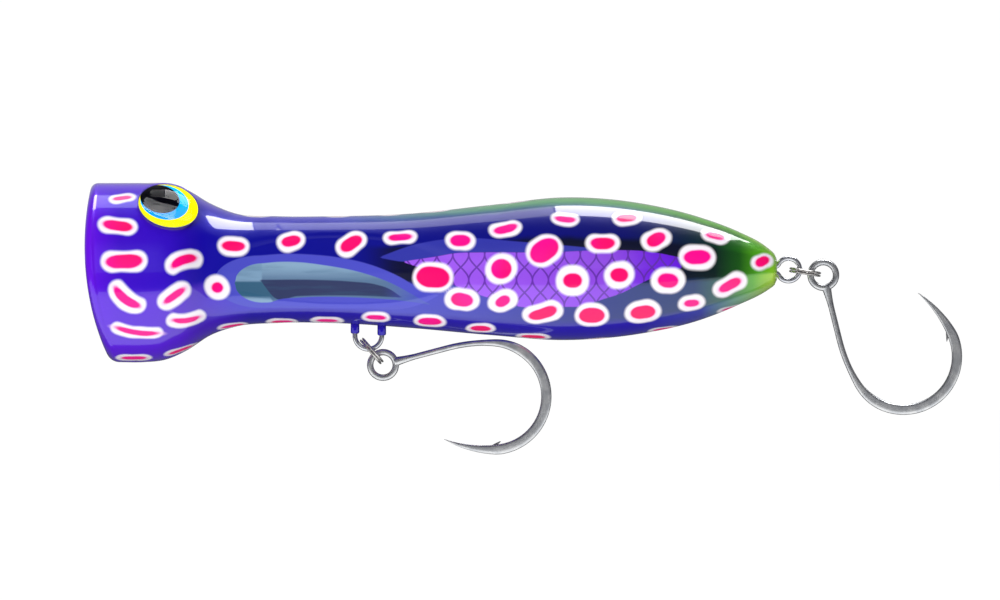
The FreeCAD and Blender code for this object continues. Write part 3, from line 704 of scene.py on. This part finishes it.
@dataclass
class Hull:
    """The moulded hull: ovals along its length, a cupped raked face, side scoops and eye seats."""

    stations: tuple = (-8.0, -3.0, 2.0, 7.0, 12.0, 16.5, 21.5, 27.0, 36.0, 48.0, 64.0, 82.0, 99.0,
                       115.0, 128.0, 136.5, 141.5, 144.5)
    tops: tuple = (18.8, 18.8, 18.8, 18.8, 18.7, 17.3, 14.4, 12.2, 11.6, 11.6, 12.1, 14.0, 15.7,
                   14.4, 11.3, 8.1, 5.5, 3.1)
    bottoms: tuple = (-20.0, -20.0, -20.1, -20.1, -19.5, -17.5, -14.3, -12.4, -11.6, -11.6, -12.6, -14.2,
                      -15.3, -13.9, -10.9, -7.5, -5.1, -3.1)
    ratios: tuple = (0.995, 0.995, 0.995, 0.995, 0.995, 0.99, 0.96, 0.93, 0.92, 0.92, 0.92, 0.92, 0.92,
                     0.92, 0.92, 0.94, 0.97, 0.99)
    face_radius: float = 80.0
    face_height: float = 6.0
    cup_floor: float = 5.5
    lip_outer: float = 1.7
    lip_inner: float = 0.5
    lip_extra: float = 1.2
    rake_fade: float = 0.12
    tail_round: float = 0.9
    columns: int = 264
    scoop_middle: float = 47.0
    scoop_height: float = -1.0
    scoop_floor: float = 7.5
    scoop_sizes: tuple = (50.5, 30.0, 40.6)
    scoop_start: tuple = (19.0, 31.0)
    scoop_edge: float = 0.8
    boss_places: tuple = (52.93, 58.73)
    boss_height: float = 3.6
    boss_hidden: float = 1.5

    def oval(self, x: Array) -> tuple[Array, Array, Array]:
        """Middle height, half height and half width of the hull at places along X."""
        top = smooth_curve(x, self.stations, self.tops)
        bottom = smooth_curve(x, self.stations, self.bottoms)
        half = (top - bottom) / 2
        return (top + bottom) / 2, half, half * smooth_curve(x, self.stations, self.ratios)

    def face(self, z: Array) -> Array:
        """X of the rounded, raked face at a height: a circle about a crosswise axis."""
        return NOSE + self.face_radius - np.sqrt(self.face_radius ** 2 - (z - self.face_height) ** 2)

    def rows(self) -> list[tuple[Zone, float]]:
        """Rings from the cup's floor out over the lip and along the hull to the tail."""
        reaches = {Zone.CUP: (2, 88), Zone.LIP_INNER: (90, 10), Zone.LIP_OUTER: (90, 6), Zone.SIDE: (0, 1)}
        return [(zone, amount) for zone, (start, end) in reaches.items()
                for amount in np.linspace(start, end, RING_COUNTS[zone])]

    def ring(self, zone: Zone, amount: float, turn: Array) -> tuple[Array, Array, Array]:
        """One ring of the hull: X, the inset from the outer oval, and the fraction of its radius.

        In the cup a point's depth is the cup's own depth times the root of one less the squared
        radius. On the lip two quarter circles meet, and behind it the ring fades to a plane.
        """
        outer_z = self.oval(np.array(0.0))
        z = outer_z[0] + outer_z[1] * np.cos(turn)
        front = self.face(z)
        ones = np.ones_like(turn)
        lip = self.lip_outer + self.lip_extra * ((1 - np.cos(turn)) / 2) ** 3
        swing = math.radians(amount)
        if zone is Zone.CUP:
            edge = front + self.lip_inner
            depth = (self.cup_floor - edge) * math.cos(swing)
            return edge + depth, lip + self.lip_inner, math.sin(swing) * ones
        if zone is Zone.LIP_INNER:
            x = front + self.lip_inner * (1 - math.cos(swing))
            return x, lip + self.lip_inner * math.sin(swing), ones
        if zone is Zone.LIP_OUTER:
            return front + lip * (1 - math.sin(swing)), lip * (1 - math.cos(swing)), ones
        start = front + lip
        end = NOSE + LENGTH
        plane = start.min() + (end - start.min()) * amount
        fade = np.clip(1 - amount / self.rake_fade, 0, 1) ** 2
        x = plane + (start - start.min()) * fade
        tail = max(0.0, x.max() - (end - self.tail_round))
        inset = self.tail_round - math.sqrt(max(0.0, self.tail_round ** 2 - tail * tail))
        return x, inset * ones, ones

    def grid(self) -> tuple[Array, Array]:
        """The hull's rings before scoops and eye seats, and the turn of each column from the back."""
        turn = np.linspace(0, 2 * np.pi, self.columns, endpoint=False)
        rings = []
        for zone, amount in self.rows():
            x, inset, fraction = self.ring(zone, amount, turn)
            middle, half, wide = self.oval(x)
            rings.append(np.stack([x, -(wide - inset) * fraction * np.sin(turn),
                                   middle + (half - inset) * fraction * np.cos(turn)], -1))
        return np.stack(rings), turn

    def scoop_depth(self, points: Array) -> Array:
        """Scooped |Y| of each point: the lesser of the hull's and the scoop ellipsoid's.

        The two surfaces meet in a small rounded edge, and the scoop fades in behind the head.
        """
        long, deep, tall = self.scoop_sizes
        inside = (1 - ((points[..., 0] - self.scoop_middle) / long) ** 2
                  - ((points[..., 2] - self.scoop_height) / tall) ** 2)
        cut = self.scoop_floor + deep - deep * np.sqrt(np.clip(inside, 0, 1))
        side = np.abs(points[..., 1])
        gap = (side - cut) * smooth_step(points[..., 0] - NOSE, *self.scoop_start)
        edge = self.scoop_edge
        rounded = side - (gap + edge) ** 2 / (4 * edge)
        return np.where(gap > edge, side - gap, np.where(gap < -edge, side, rounded))

    def seat_eyes(self, points: Array, eyes: Sequence["Eye"]) -> Array:
        """Press the hull down under each eye: points over the seat drop to just below it."""
        for eye in eyes:
            away = points - eye.seat
            rise = away @ eye.out
            across = np.linalg.norm(away - rise[..., None] * eye.out, axis=-1)
            keep = smooth_step(across, eye.radius - eye.seat_inside, eye.radius + eye.seat_outside)
            drop = np.where(np.abs(rise) < eye.seat_reach, np.maximum(0, rise + eye.seat_gap) * (1 - keep), 0)
            points = points - drop[..., None] * eye.out
        return points

    def spot_distance(self, along: Array, girth: Array) -> tuple[Array, Array]:
        """Least signed distance to a spot's core and to its ring, in mm, over the opened-out side.

        A spot is a dab of the brush: a short straight middle with half ovals for its ends, so its
        distance is the distance to that middle, squeezed along the ends, less half its height. Its
        ring is an even width round a stroke with round ends, but for a slight sway.
        """
        core = np.full(along.shape, FAR_OUTSIDE)
        ring = np.full(along.shape, FAR_OUTSIDE)
        for number, spot in enumerate(SPOTS):
            middle, half, _ = self.oval(np.array(spot.along + NOSE))
            centre = half * np.arcsin(np.clip((spot.height - middle) / half, -1, 1))
            tilt = math.radians(spot.tilt)
            du = along - spot.along
            dv = girth - centre
            u = du * math.cos(tilt) + dv * math.sin(tilt)
            v = dv * math.cos(tilt) - du * math.sin(tilt)
            reach = (spot.long / 2) ** 2
            v = v - spot.bend * (np.minimum(u * u, reach) - reach / 3)
            flat = SPOT_STRAIGHT * (spot.long - spot.tall) / 2
            past = np.maximum(np.abs(u) - flat, 0) * (spot.tall / 2) / (spot.long / 2 - flat)
            far = np.hypot(past, v) - spot.tall / 2
            core = np.minimum(core, far)
            past = np.maximum(np.abs(u) - (spot.long - spot.tall) / 2, 0)
            far = np.hypot(past, v) - spot.tall / 2
            ring = np.minimum(ring, far - spot.ring - RING_SWAY * np.sin(np.arctan2(v, u) * 2 + number))
        return core, ring

    def paint_layout(self, points: Array, turn: Array) -> dict[str, Array]:
        """Signed distances that the paint reads, positive inside for the panels."""
        x, z = points[..., 0], points[..., 2]
        along = x - NOSE
        _, half, _ = self.oval(x)
        lean = np.pi / 2 - np.where(turn > np.pi, 2 * np.pi - turn, turn)
        core, ring = self.spot_distance(along, half * lean)
        inside_cup = np.zeros(along.shape, bool)
        inside_cup[:UNPAINTED_RINGS] = True
        core = np.where(inside_cup, FAR_OUTSIDE, core)
        ring = np.where(inside_cup, FAR_OUTSIDE, ring)

        def inside(edges: tuple, nose: float = 0.0) -> Array:
            """Distance inside an outline given by its lower and upper edges along the hull, with an
            elliptic front end as long as its nose."""
            (low, high) = edges
            bottom = smooth_curve(along, [p for p, _ in low], [h for _, h in low])
            top = smooth_curve(along, [p for p, _ in high], [h for _, h in high])
            ahead = np.clip((low[0][0] - along) / max(nose, 0.01), 0, 1)
            half = (top - bottom) / 2 * np.sqrt(1 - ahead ** 2)
            ends = np.minimum(along - low[0][0] + nose, low[-1][0] - along)
            deep = np.minimum(half - np.abs(z - (top + bottom) / 2), ends + 0.2)
            return np.where(inside_cup, BARE, deep)

        front = along - 38.3 - 0.6 * np.maximum(0, -3 - z)
        return {"side_height": np.broadcast_to(lean / (np.pi / 2), along.shape), "spot": core,
                "halo": ring, "window": inside(WINDOW), "slate": inside(SLATE),
                "leaf": inside(LEAF, LEAF_NOSE), "panel": inside(PANEL, PANEL_NOSE),
                "fin_dark": inside(FIN_DARK_REFLECTION), "fin_front": front}

    def boss(self, x: float) -> Skin:
        """A small round collar where a leg of the wire leaves the belly, with a rounded foot."""
        middle, half, _ = self.oval(np.array(x))
        foot = float(middle - half) + self.boss_hidden - self.boss_height
        heights = np.array([0.0, 0.0, 0.12, 0.35, 2.0, self.boss_height, self.boss_height])
        radii = np.array([0.0, 0.62, 0.85, 0.95, 0.95, 1.05, 0.0])
        skin = lathe(radii, heights, 40)
        skin.points = skin.points + np.array([x, 0, foot])
        return skin.outwards()

    def build(self, eyes: Sequence["Eye"]) -> bpy.types.Object:
        """Make the painted hull as one piece.

        Args:
            eyes: The eyes that the hull is pressed in for.

        Returns:
            The dressed object, riding on the lure's body.
        """
        grid, turn = self.grid()
        pulled = self.scoop_depth(grid)
        side = np.sign(grid[..., 1])
        outside = np.arange(len(grid)) >= FRONT_RINGS
        grid[..., 1] = np.where(outside[:, None], side * pulled, grid[..., 1])
        layout = self.paint_layout(grid, turn[None, :])
        grid = self.seat_eyes(grid, eyes)
        tips = (np.array([self.cup_floor, 0, grid[0, :, 2].mean()]),
                np.array([NOSE + LENGTH, 0, grid[-1, :, 2].mean()]))
        skin = Skin.from_grid(grid, tips)
        bosses = [self.boss(x) for x in self.boss_places]
        extra = sum(len(boss.points) for boss in bosses)
        plain = {"side_height": -1.0, "spot": FAR_OUTSIDE, "halo": FAR_OUTSIDE}
        values = {}
        for key, layer in layout.items():
            ends = np.array([layer[0, 0], layer[-1, 0]])
            values[key] = np.concatenate([layer.ravel(), ends, np.full(extra, plain.get(key, BARE))])
        piece = skin.joined(*bosses).to_object("painted_hull", values)
        piece.data.materials.append(Paint().material())
        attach(piece, "popper_body")
        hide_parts("shell_left", "shell_right")
        return piece


# ---------------------------------------------------------------------------------------------
# Eyes
# ---------------------------------------------------------------------------------------------

class Side(Enum):
    """The lure's two sides, by the sign of Y."""

    LEFT = -1
    RIGHT = 1


@dataclass
class Eye:
    """One domed eye: a printed disc under a clear dome, in a seat that faces up and outwards."""

    side: Side
    radius: float = 6.7
    thick: float = 0.3
    edge: float = 0.5
    rise: float = 1.9
    place: tuple = (12.5, 12.0, 13.5)
    lift: float = 46.0
    sweep_back: float = 10.0
    seat_inside: float = 0.45
    seat_outside: float = 0.2
    seat_gap: float = 0.3
    seat_reach: float = 8.0
    name: str = field(init=False)
    seat: Array = field(init=False)
    out: Array = field(init=False)

    def __post_init__(self) -> None:
        """Work out the eye's name, the seat's place and the direction the eye faces."""
        self.name = self.side.name.lower()
        lift, back = math.radians(self.lift), math.radians(self.sweep_back)
        self.seat = np.array([self.place[0], self.side.value * self.place[1], self.place[2]])
        self.out = np.array([math.sin(back), self.side.value * math.cos(back) * math.cos(lift),
                             math.cos(back) * math.sin(lift)])

    def axes(self) -> tuple[Array, Array]:
        """The eye's own rearward and upward directions."""
        rearward = unit(np.array([1.0, 0, 0]) - self.out * self.out[0])
        upward = np.cross(self.out, rearward)
        return rearward, upward * np.sign(upward[2])

    def placed(self, skin: Skin, lift: float) -> tuple[Skin, Array, Array]:
        """Stand a turned skin on the seat, and give its own flat coordinates."""
        rearward, upward = self.axes()
        u, v, w = skin.points.T.copy()
        skin.points = (self.seat + u[:, None] * rearward + v[:, None] * upward
                       + (w[:, None] + lift) * self.out)
        return skin.outwards(), u, v

    def build(self) -> list[bpy.types.Object]:
        """Make the print and the dome, dressed and riding on the lure's body."""
        disc_r = np.concatenate([[0, 0.01], np.linspace(1, self.radius - 0.08, 12),
                                 [self.radius, self.radius, self.radius - 0.02, 0.01, 0]])
        disc_z = np.concatenate([np.full(14, self.thick), [self.thick - 0.08, 0.05, 0, 0, 0]])
        disc, u, v = self.placed(lathe(disc_r, disc_z, 128), 0.0)
        print_piece = disc.to_object("eye_print_disc_" + self.name, {"eye_u": u, "eye_v": v})
        print_piece.data.materials.append(EyePrint().material())
        ball = (self.radius ** 2 + self.rise ** 2) / (2 * self.rise)
        reach = math.asin((self.radius - 0.12) / ball)
        cap = np.linspace(0, reach, 40)
        cap_r, cap_z = ball * np.sin(cap), self.edge + self.rise - ball * (1 - np.cos(cap))
        rim_r = [self.radius - 0.03, self.radius, self.radius, self.radius - 0.05, 0.01, 0]
        dome_r = np.concatenate([cap_r, rim_r])
        dome_z = np.concatenate([cap_z, [self.edge + 0.02, self.edge - 0.06, 0.05, 0.01, 0.01, 0.01]])
        dome, _, _ = self.placed(lathe(dome_r, dome_z, 128), self.thick)
        dome_piece = dome.to_object("eye_dome_cap_" + self.name)
        dome_piece.data.materials.append(ClearDome().material())
        for piece, node, slot in ((print_piece, "eye_print_", "eye_print"),
                                  (dome_piece, "eye_dome_", "eye_dome")):
            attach(piece, "popper_body")
            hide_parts(node + self.name)
        return [print_piece, dome_piece]


# ---------------------------------------------------------------------------------------------
# Wire, rings and hooks
# ---------------------------------------------------------------------------------------------

@dataclass
class ThroughWire:
    """One round wire: line tie, belly loop and tail eye joined by straight runs."""

    radius: float = 0.54
    leg: float = 0.6
    neck: float = 1.2
    nose_eye: float = 2.45
    tail_eye: float = 2.46
    tail_x: float = 147.02
    loop_x: float = 55.83
    loop_radius: float = 2.9
    loop_z: float = -14.35
    bend: float = 4.0
    leg_ends: tuple = (26.0, 122.0)

    def path(self) -> Array:
        """The wire's centreline: the same straight runs and tangent arcs all the way."""
        neck_z = self.leg + self.neck
        nose_x = math.sqrt((self.nose_eye + self.neck) ** 2 - neck_z ** 2)
        nose_turn = math.degrees(math.atan2(neck_z, nose_x))
        tail_gap = math.sqrt((self.tail_eye + self.neck) ** 2 - neck_z ** 2)
        tail_turn = math.degrees(math.atan2(neck_z, tail_gap))
        left, right = self.loop_x - self.loop_radius, self.loop_x + self.loop_radius
        neck_x = self.tail_x - tail_gap
        low = -self.leg - self.bend
        parts = [
            np.array([[self.leg_ends[0], 0, self.leg]]),
            arc_points((nose_x, neck_z), self.neck, 270, 180 + nose_turn, 12),
            arc_points((0, 0), self.nose_eye, nose_turn, 360 - nose_turn, 72)[1:],
            arc_points((nose_x, -neck_z), self.neck, 180 - nose_turn, 90, 12)[1:],
            arc_points((left - self.bend, low), self.bend, 90, 0, 12),
            arc_points((self.loop_x, self.loop_z), self.loop_radius, 180, 360, 48),
            arc_points((right + self.bend, low), self.bend, 180, 90, 12),
            arc_points((neck_x, -neck_z), self.neck, 90, tail_turn, 12),
            arc_points((self.tail_x, 0), self.tail_eye, 180 + tail_turn, 540 - tail_turn, 72)[1:],
            arc_points((neck_x, neck_z), self.neck, 360 - tail_turn, 270, 12)[1:],
            np.array([[self.leg_ends[1], 0, self.leg]]),
        ]
        return np.vstack(parts)

    def build(self) -> bpy.types.Object:
        """Make the wire, dressed and riding on the lure's body."""
        path = self.path()
        skin = sweep(path, np.full((len(path), 2), self.radius), np.array([0, 1.0, 0]), 28)
        piece = skin.to_object("bright_wire")
        finish = Metal("bright_wire", (0.82, 0.84, 0.88), (0.66, 0.68, 0.74), 0.20)
        piece.data.materials.append(finish.material())
        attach(piece, "popper_body")
        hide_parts("through_wire")
        return piece


@dataclass
class SplitRing:
    """A flat coil of oval wire, nearly two turns, with one step between its layers."""

    name: str
    node: str
    body: str
    centre: tuple
    turn: float
    radius: float = 3.075
    half_width: float = 0.425
    half_thick: float = 0.27
    step: float = 0.6
    ramp: float = 50.0

    def axes(self) -> tuple[Array, Array]:
        """The ring's own rearward direction, and the direction its layers are stacked in."""
        turn = math.radians(self.turn)
        return (np.array([math.cos(turn), 0, -math.sin(turn)]),
                np.array([math.sin(turn), 0, math.cos(turn)]))

    def path(self) -> Array:
        """Coil points: a circle whose height steps smoothly from one layer to the other at the side."""
        first = self.ramp / 2
        angles = np.radians(np.linspace(first, 720 - first, 220))
        height = self.step * (smooth_step(np.degrees(angles), 360 - first, 360 + first) - 0.5)
        turn = angles + np.pi / 2
        local = np.stack([self.radius * np.cos(turn), self.radius * np.sin(turn), height], -1)
        along, up = self.axes()
        return (np.array([self.centre[0], 0, self.centre[1]]) + local[:, :1] * along
                + local[:, 1:2] * np.array([0, 1.0, 0]) + local[:, 2:] * up)

    def build(self) -> bpy.types.Object:
        """Make the ring, dressed and riding on its own body."""
        path = self.path()
        halves = np.tile([self.half_thick, self.half_width], (len(path), 1))
        piece = sweep(path, halves, self.axes()[1], 20).to_object(self.name)
        finish = Metal("ring_steel", (0.78, 0.77, 0.76), (0.52, 0.50, 0.48), 0.22)
        piece.data.materials.append(finish.material())
        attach(piece, self.body)
        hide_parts(self.node)
        return piece


@dataclass
class Hook:
    """A forged single hook in its own plane: eye, neck, shank, bend, barb and needle point."""

    name: str
    node: str
    body: str
    eye: tuple
    turn: float
    flip: int
    eye_radius: float = 2.77
    eye_wire: float = 0.70
    shank: float = 0.62
    straight: float = 14.5
    sweep_radius: float = 35.0
    sweep_end: float = 24.76
    bend_radius: float = 11.6
    bend_end: float = 104.7
    point_radius: float = 26.0
    point_length: float = 10.9
    forged: tuple = (1.12, 0.68)
    forging_start: float = 3.0
    forging_end: float = 15.0
    taper_reach: float = 1.15
    taper_depth: float = 0.95
    neck_start: float = -0.15
    neck_long: float = 4.4
    neck_extra: float = 0.42
    barb_back: float = 10.6
    barb_long: float = 2.5
    barb_half: float = 0.42
    barb_tip: float = 0.03
    barb_lean: float = 0.7
    barb_depth: float = 0.45
    columns: int = 32
    eye_rings: int = 96

    def rod(self) -> tuple[Array, Array, Array, Array, Array]:
        """Shank and bend: the heading falls by each stretch's length over its radius.

        Returns:
            Points in the hook's own plane, half sizes across and in that plane, headings, the
            distance along the rod and the section's power, which is flatter where it is forged.
        """
        turn = math.asin((self.sweep_end - self.straight) / self.sweep_radius)
        bend_turn = math.radians(self.bend_end) + math.pi / 2 - turn
        lengths = np.array([self.straight - self.eye_radius, self.sweep_radius * turn,
                            self.bend_radius * bend_turn, self.point_length])
        turns = np.array([0.0, turn, bend_turn, self.point_length / self.point_radius])
        ends = np.concatenate([[0], np.cumsum(lengths)])
        far = np.linspace(0, ends[-1], 360)
        heading = -np.interp(far, ends, np.concatenate([[0], np.cumsum(turns)]))
        step = np.diff(far, prepend=0)
        middle = (heading + np.concatenate([[0], heading[:-1]])) / 2
        x = self.eye_radius + np.cumsum(np.cos(middle) * step)
        z = np.cumsum(np.sin(middle) * step)
        forging = smooth_step(far, self.straight + self.forging_start, self.straight + self.forging_end)
        reach = self.point_length * self.taper_reach
        taper = np.clip((far - (ends[-1] - reach)) / reach, 0, 1)
        thin = 1 - self.taper_depth * taper ** 1.15
        tall = (self.shank + (self.forged[0] - self.shank) * forging) * thin
        wide = (self.shank + (self.forged[1] - self.shank) * forging) * thin
        points = np.stack([x, np.zeros_like(x), z], -1)
        return points, np.stack([wide, tall], -1), heading, far, 2 + 1.1 * forging * (1 - taper)

    def placed(self, skin: Skin) -> Skin:
        """Turn the hook's own plane to its place on the lure."""
        turn = math.radians(self.turn)
        x, y, z = skin.points.T
        z, y = z * self.flip, y * self.flip
        skin.points = np.stack([self.eye[0] + x * math.cos(turn) + z * math.sin(turn), y,
                                self.eye[1] - x * math.sin(turn) + z * math.cos(turn)], -1)
        return skin.outwards()

    def build(self) -> bpy.types.Object:
        """Make the hook, dressed and riding on its own body."""
        path, halves, heading, far, power = self.rod()
        side = np.array([0, 1.0, 0])
        rod = sweep(path, halves, side, self.columns, power=power)
        ring = arc_points((0, 0), self.eye_radius, 0, 360, self.eye_rings + 1)[:-1]
        eye = sweep(ring, np.full((self.eye_rings, 2), self.eye_wire), side, self.columns, closed=True)
        reach = np.linspace(0, 1, 24)
        neck_x = self.eye_radius + self.neck_start + self.neck_long * reach
        neck_path = np.stack([neck_x, 0 * reach, 0 * reach], -1)
        neck_half = self.shank + 0.02 + self.neck_extra * (1 - reach) ** 1.6
        neck = sweep(neck_path, np.stack([neck_half * 0.85, neck_half], -1), side, self.columns)
        at = int(np.searchsorted(far, far[-1] - self.barb_back))
        inward = np.array([math.sin(heading[at]), 0, -math.cos(heading[at])])
        backward = np.array([-math.cos(heading[at]), 0, -math.sin(heading[at])])
        lean = unit(backward + self.barb_lean * inward)
        start = path[at] + inward * halves[at, 1] * self.barb_depth
        barb_path = start + reach[:, None] * lean * self.barb_long
        barb_half = self.barb_half * (1 - reach) ** 0.7 + self.barb_tip
        barb = sweep(barb_path, np.stack([barb_half * 0.7, barb_half], -1), side, self.columns)
        turn = np.linspace(0, 2 * np.pi, self.columns, endpoint=False)
        # edge marks the sides of each section in the hook's plane, its outline seen from the side, where
        # painted shade darkens the steel; the barb takes it over most of its face
        edge = np.abs(np.sin(turn))
        marks = [np.append(np.tile(edge, len(path)), [1.0, 1.0]), np.tile(edge, self.eye_rings),
                 np.append(np.tile(edge, len(reach)), [0.0, 0.0]), np.full(len(barb.points), 0.9)]
        skin = self.placed(rod).joined(self.placed(eye), self.placed(neck), self.placed(barb))
        piece = skin.to_object(self.name, {"edge": np.concatenate(marks)})
        # the last colour is the painted edge shade
        finish = Metal("hook_steel", (0.80, 0.81, 0.82), (0.62, 0.64, 0.67), 0.36, 500.0,
                       (0.10, 0.10, 0.12))
        piece.data.materials.append(finish.material())
        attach(piece, self.body)
        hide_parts(self.node)
        return piece


# ---------------------------------------------------------------------------------------------
# Studio
# ---------------------------------------------------------------------------------------------

@dataclass(frozen=True)
class Lamp:
    """A soft rectangular light: where it is, its size in mm, its power, and what it reaches."""

    name: str
    place: Colour
    target: Colour
    size: tuple[float, float]
    power: float
    diffuse: bool
    glossy: bool


@dataclass
class Studio:
    """White floor and surround, a bright card under the lure's near side, soft lights and the camera."""

    middle: tuple = (84.4, -6.6)
    frame_width: float = 217.08
    distance: float = 5000.0
    sensor: float = 36.0
    floor_z: float = -62.0
    card: tuple = (-142.0, 3.0)
    card_glow: float = 1.15
    dim_glow: float = 0.10
    lamps: tuple = (
        Lamp("front_fill", (-250, -1400, 520), (70, 0, 0), (900, 900), 21.0, True, False),
        Lamp("back_fill", (250, 1400, 520), (70, 0, 0), (900, 900), 13.0, True, False),
        Lamp("top_fill", (80, 60, 900), (70, 0, 0), (700, 500), 3.0, True, False),
        Lamp("shoulder_box", (270, 160, 600), (98, 0, 0), (420, 330), 5.0, False, True),
        Lamp("waist_box", (-30, 160, 600), (40, 0, 0), (170, 300), 0.35, False, True),
    )
    tones: tuple = ((0.0, (0.42, 0.42, 0.43)), (0.12, (0.12, 0.12, 0.13)), (0.35, (0.05, 0.05, 0.06)),
                    (0.62, (0.10, 0.10, 0.11)), (1.0, (0.45, 0.45, 0.46)))

    def floor(self) -> None:
        """Add the floor: white to the camera, and to reflections a bright card beside a dim table."""
        mesh = bpy.data.meshes.new("pale_floor")
        turn = np.linspace(0, 2 * np.pi, 96, endpoint=False)
        rim = np.stack([np.cos(turn) * 7.0 + 0.08, np.sin(turn) * 7.0, np.full(96, self.floor_z * MM)], -1)
        mesh.from_pydata([tuple(corner) for corner in rim], [], [tuple(range(96))])
        panel = bpy.data.objects.new("pale_floor", mesh)
        bpy.context.scene.collection.objects.link(panel)
        shader = Shader("pale_floor")
        x, y, _ = shader.place()
        card = y.ramp(self.card[0] - 2, self.card[0] + 2) * y.ramp(self.card[1] + 2, self.card[1] - 2)
        card = card * x.ramp(-260.0, -200.0) * x.ramp(420.0, 360.0)
        seen = Value(shader, shader.node("ShaderNodeLightPath", {}, {}).outputs["Is Camera Ray"])
        glow = (card * (self.card_glow - self.dim_glow) + self.dim_glow).larger(seen * 1.02)
        tone = shader.mix(glow / 3.0, (0.0, 0.0, 0.0), (3.0, 3.0, 3.0))
        shader.surface.inputs["Emission Strength"].default_value = 1.0
        shader.surface.inputs["Specular IOR Level"].default_value = 0.0
        finish = shader.finish(Base_Color=(0.02, 0.02, 0.02), Roughness=1.0, Emission_Color=tone)
        mesh.materials.append(finish)

    def lamp(self, lamp: Lamp) -> None:
        """Add one light."""
        light = bpy.data.lights.new(lamp.name, "AREA")
        light.shape = "RECTANGLE"
        light.size, light.size_y = lamp.size[0] * MM, lamp.size[1] * MM
        light.energy = lamp.power
        holder = bpy.data.objects.new(lamp.name, light)
        bpy.context.scene.collection.objects.link(holder)
        away = Vector(lamp.place) - Vector(lamp.target)
        holder.location = Vector(lamp.place) * MM
        if lamp.diffuse:       # a lamp for reflections only hangs level
            holder.rotation_euler = away.to_track_quat("Z", "Y").to_euler()
        holder.visible_camera = False
        holder.visible_diffuse = lamp.diffuse
        holder.visible_glossy = lamp.glossy
        holder.visible_transmission = lamp.glossy

    def air(self) -> None:
        """Make the surround: white to the camera, and to everything else grey in front and behind."""
        world = bpy.data.worlds.new("studio_air")
        world.use_nodes = True
        tree = world.node_tree
        spot = tree.nodes.new("ShaderNodeTexCoord")
        parts = tree.nodes.new("ShaderNodeSeparateXYZ")
        ramp = tree.nodes.new("ShaderNodeMapRange")
        ramp.inputs["From Min"].default_value = -1.0
        tones = tree.nodes.new("ShaderNodeValToRGB")
        Shader.set_stops(tones.color_ramp, self.tones)
        seen = tree.nodes.new("ShaderNodeLightPath")
        mixed = tree.nodes.new("ShaderNodeMix")
        mixed.data_type = "RGBA"
        mixed.inputs[7].default_value = (1.02, 1.02, 1.02, 1.0)
        tree.links.new(spot.outputs["Generated"], parts.inputs[0])
        tree.links.new(parts.outputs[1], ramp.inputs[0])
        tree.links.new(ramp.outputs[0], tones.inputs[0])
        tree.links.new(seen.outputs["Is Camera Ray"], mixed.inputs[0])
        tree.links.new(tones.outputs[0], mixed.inputs[6])
        tree.links.new(mixed.outputs[2], tree.nodes["Background"].inputs[0])
        bpy.context.scene.world = world

    def build(self) -> None:
        """Make the set, the lights and the camera."""
        self.floor()
        self.air()
        for lamp in self.lamps:
            self.lamp(lamp)
        bpy.context.scene.view_settings.view_transform = "Standard"
        camera = bpy.data.cameras.new("camera")
        camera.sensor_width = self.sensor
        camera.lens = self.sensor * self.distance / self.frame_width
        camera.clip_end = 30
        holder = bpy.data.objects.new("camera", camera)
        bpy.context.scene.collection.objects.link(holder)
        holder.location = (self.middle[0] * MM, -self.distance * MM, self.middle[1] * MM)
        holder.rotation_euler = (math.pi / 2, 0, 0)
        bpy.context.scene.camera = holder


def dress_inner_pieces() -> None:
    """Give the hidden ballast and rattle pieces their finishes."""
    steel = Metal("turned_bar", (0.55, 0.55, 0.56), (0.40, 0.40, 0.42), 0.35).material()
    ball = Metal("polished_ball", (0.75, 0.75, 0.77), (0.60, 0.60, 0.62), 0.12).material()
    tube = Plastic("natural_plastic", (0.80, 0.80, 0.77), (0.70, 0.70, 0.66), 0.4).material()
    finishes = {"tail_ballast": steel, "belly_ballast": steel, "rattle_ball": ball, "rattle_tube": tube,
                "rattle_tube_cap": tube}
    for node, material in finishes.items():
        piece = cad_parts[node]
        piece.data.materials.clear()
        piece.data.materials.append(material)
        LOG.info("dressed %s", node)


def main() -> None:
    """Build every piece in order and report each one."""
    logging.basicConfig(level=logging.INFO, format="%(message)s")
    Studio().build()
    eyes = [Eye(side) for side in Side]
    made = [Hull().build(eyes)]
    for eye in eyes:
        made += eye.build()
    made.append(ThroughWire().build())
    hardware = (
        SplitRing("belly_coil_ring", "belly_split_ring", "belly_ring", (56.55, -17.65), 48.9),
        SplitRing("tail_coil_ring", "tail_split_ring", "tail_ring", (150.63, -0.53), 9.0),
        Hook("belly_single_hook", "belly_hook", "belly_hook", (59.0, -20.69), -14.7, 1),
        Hook("tail_single_hook", "tail_hook", "tail_hook", (154.58, -1.15), 76.0, -1),
    )
    made += [part.build() for part in hardware]
    dress_inner_pieces()
    for piece in made:
        LOG.info("built %s with %d faces", piece.name, len(piece.data.polygons))


if __name__ == "__main__":
    main()
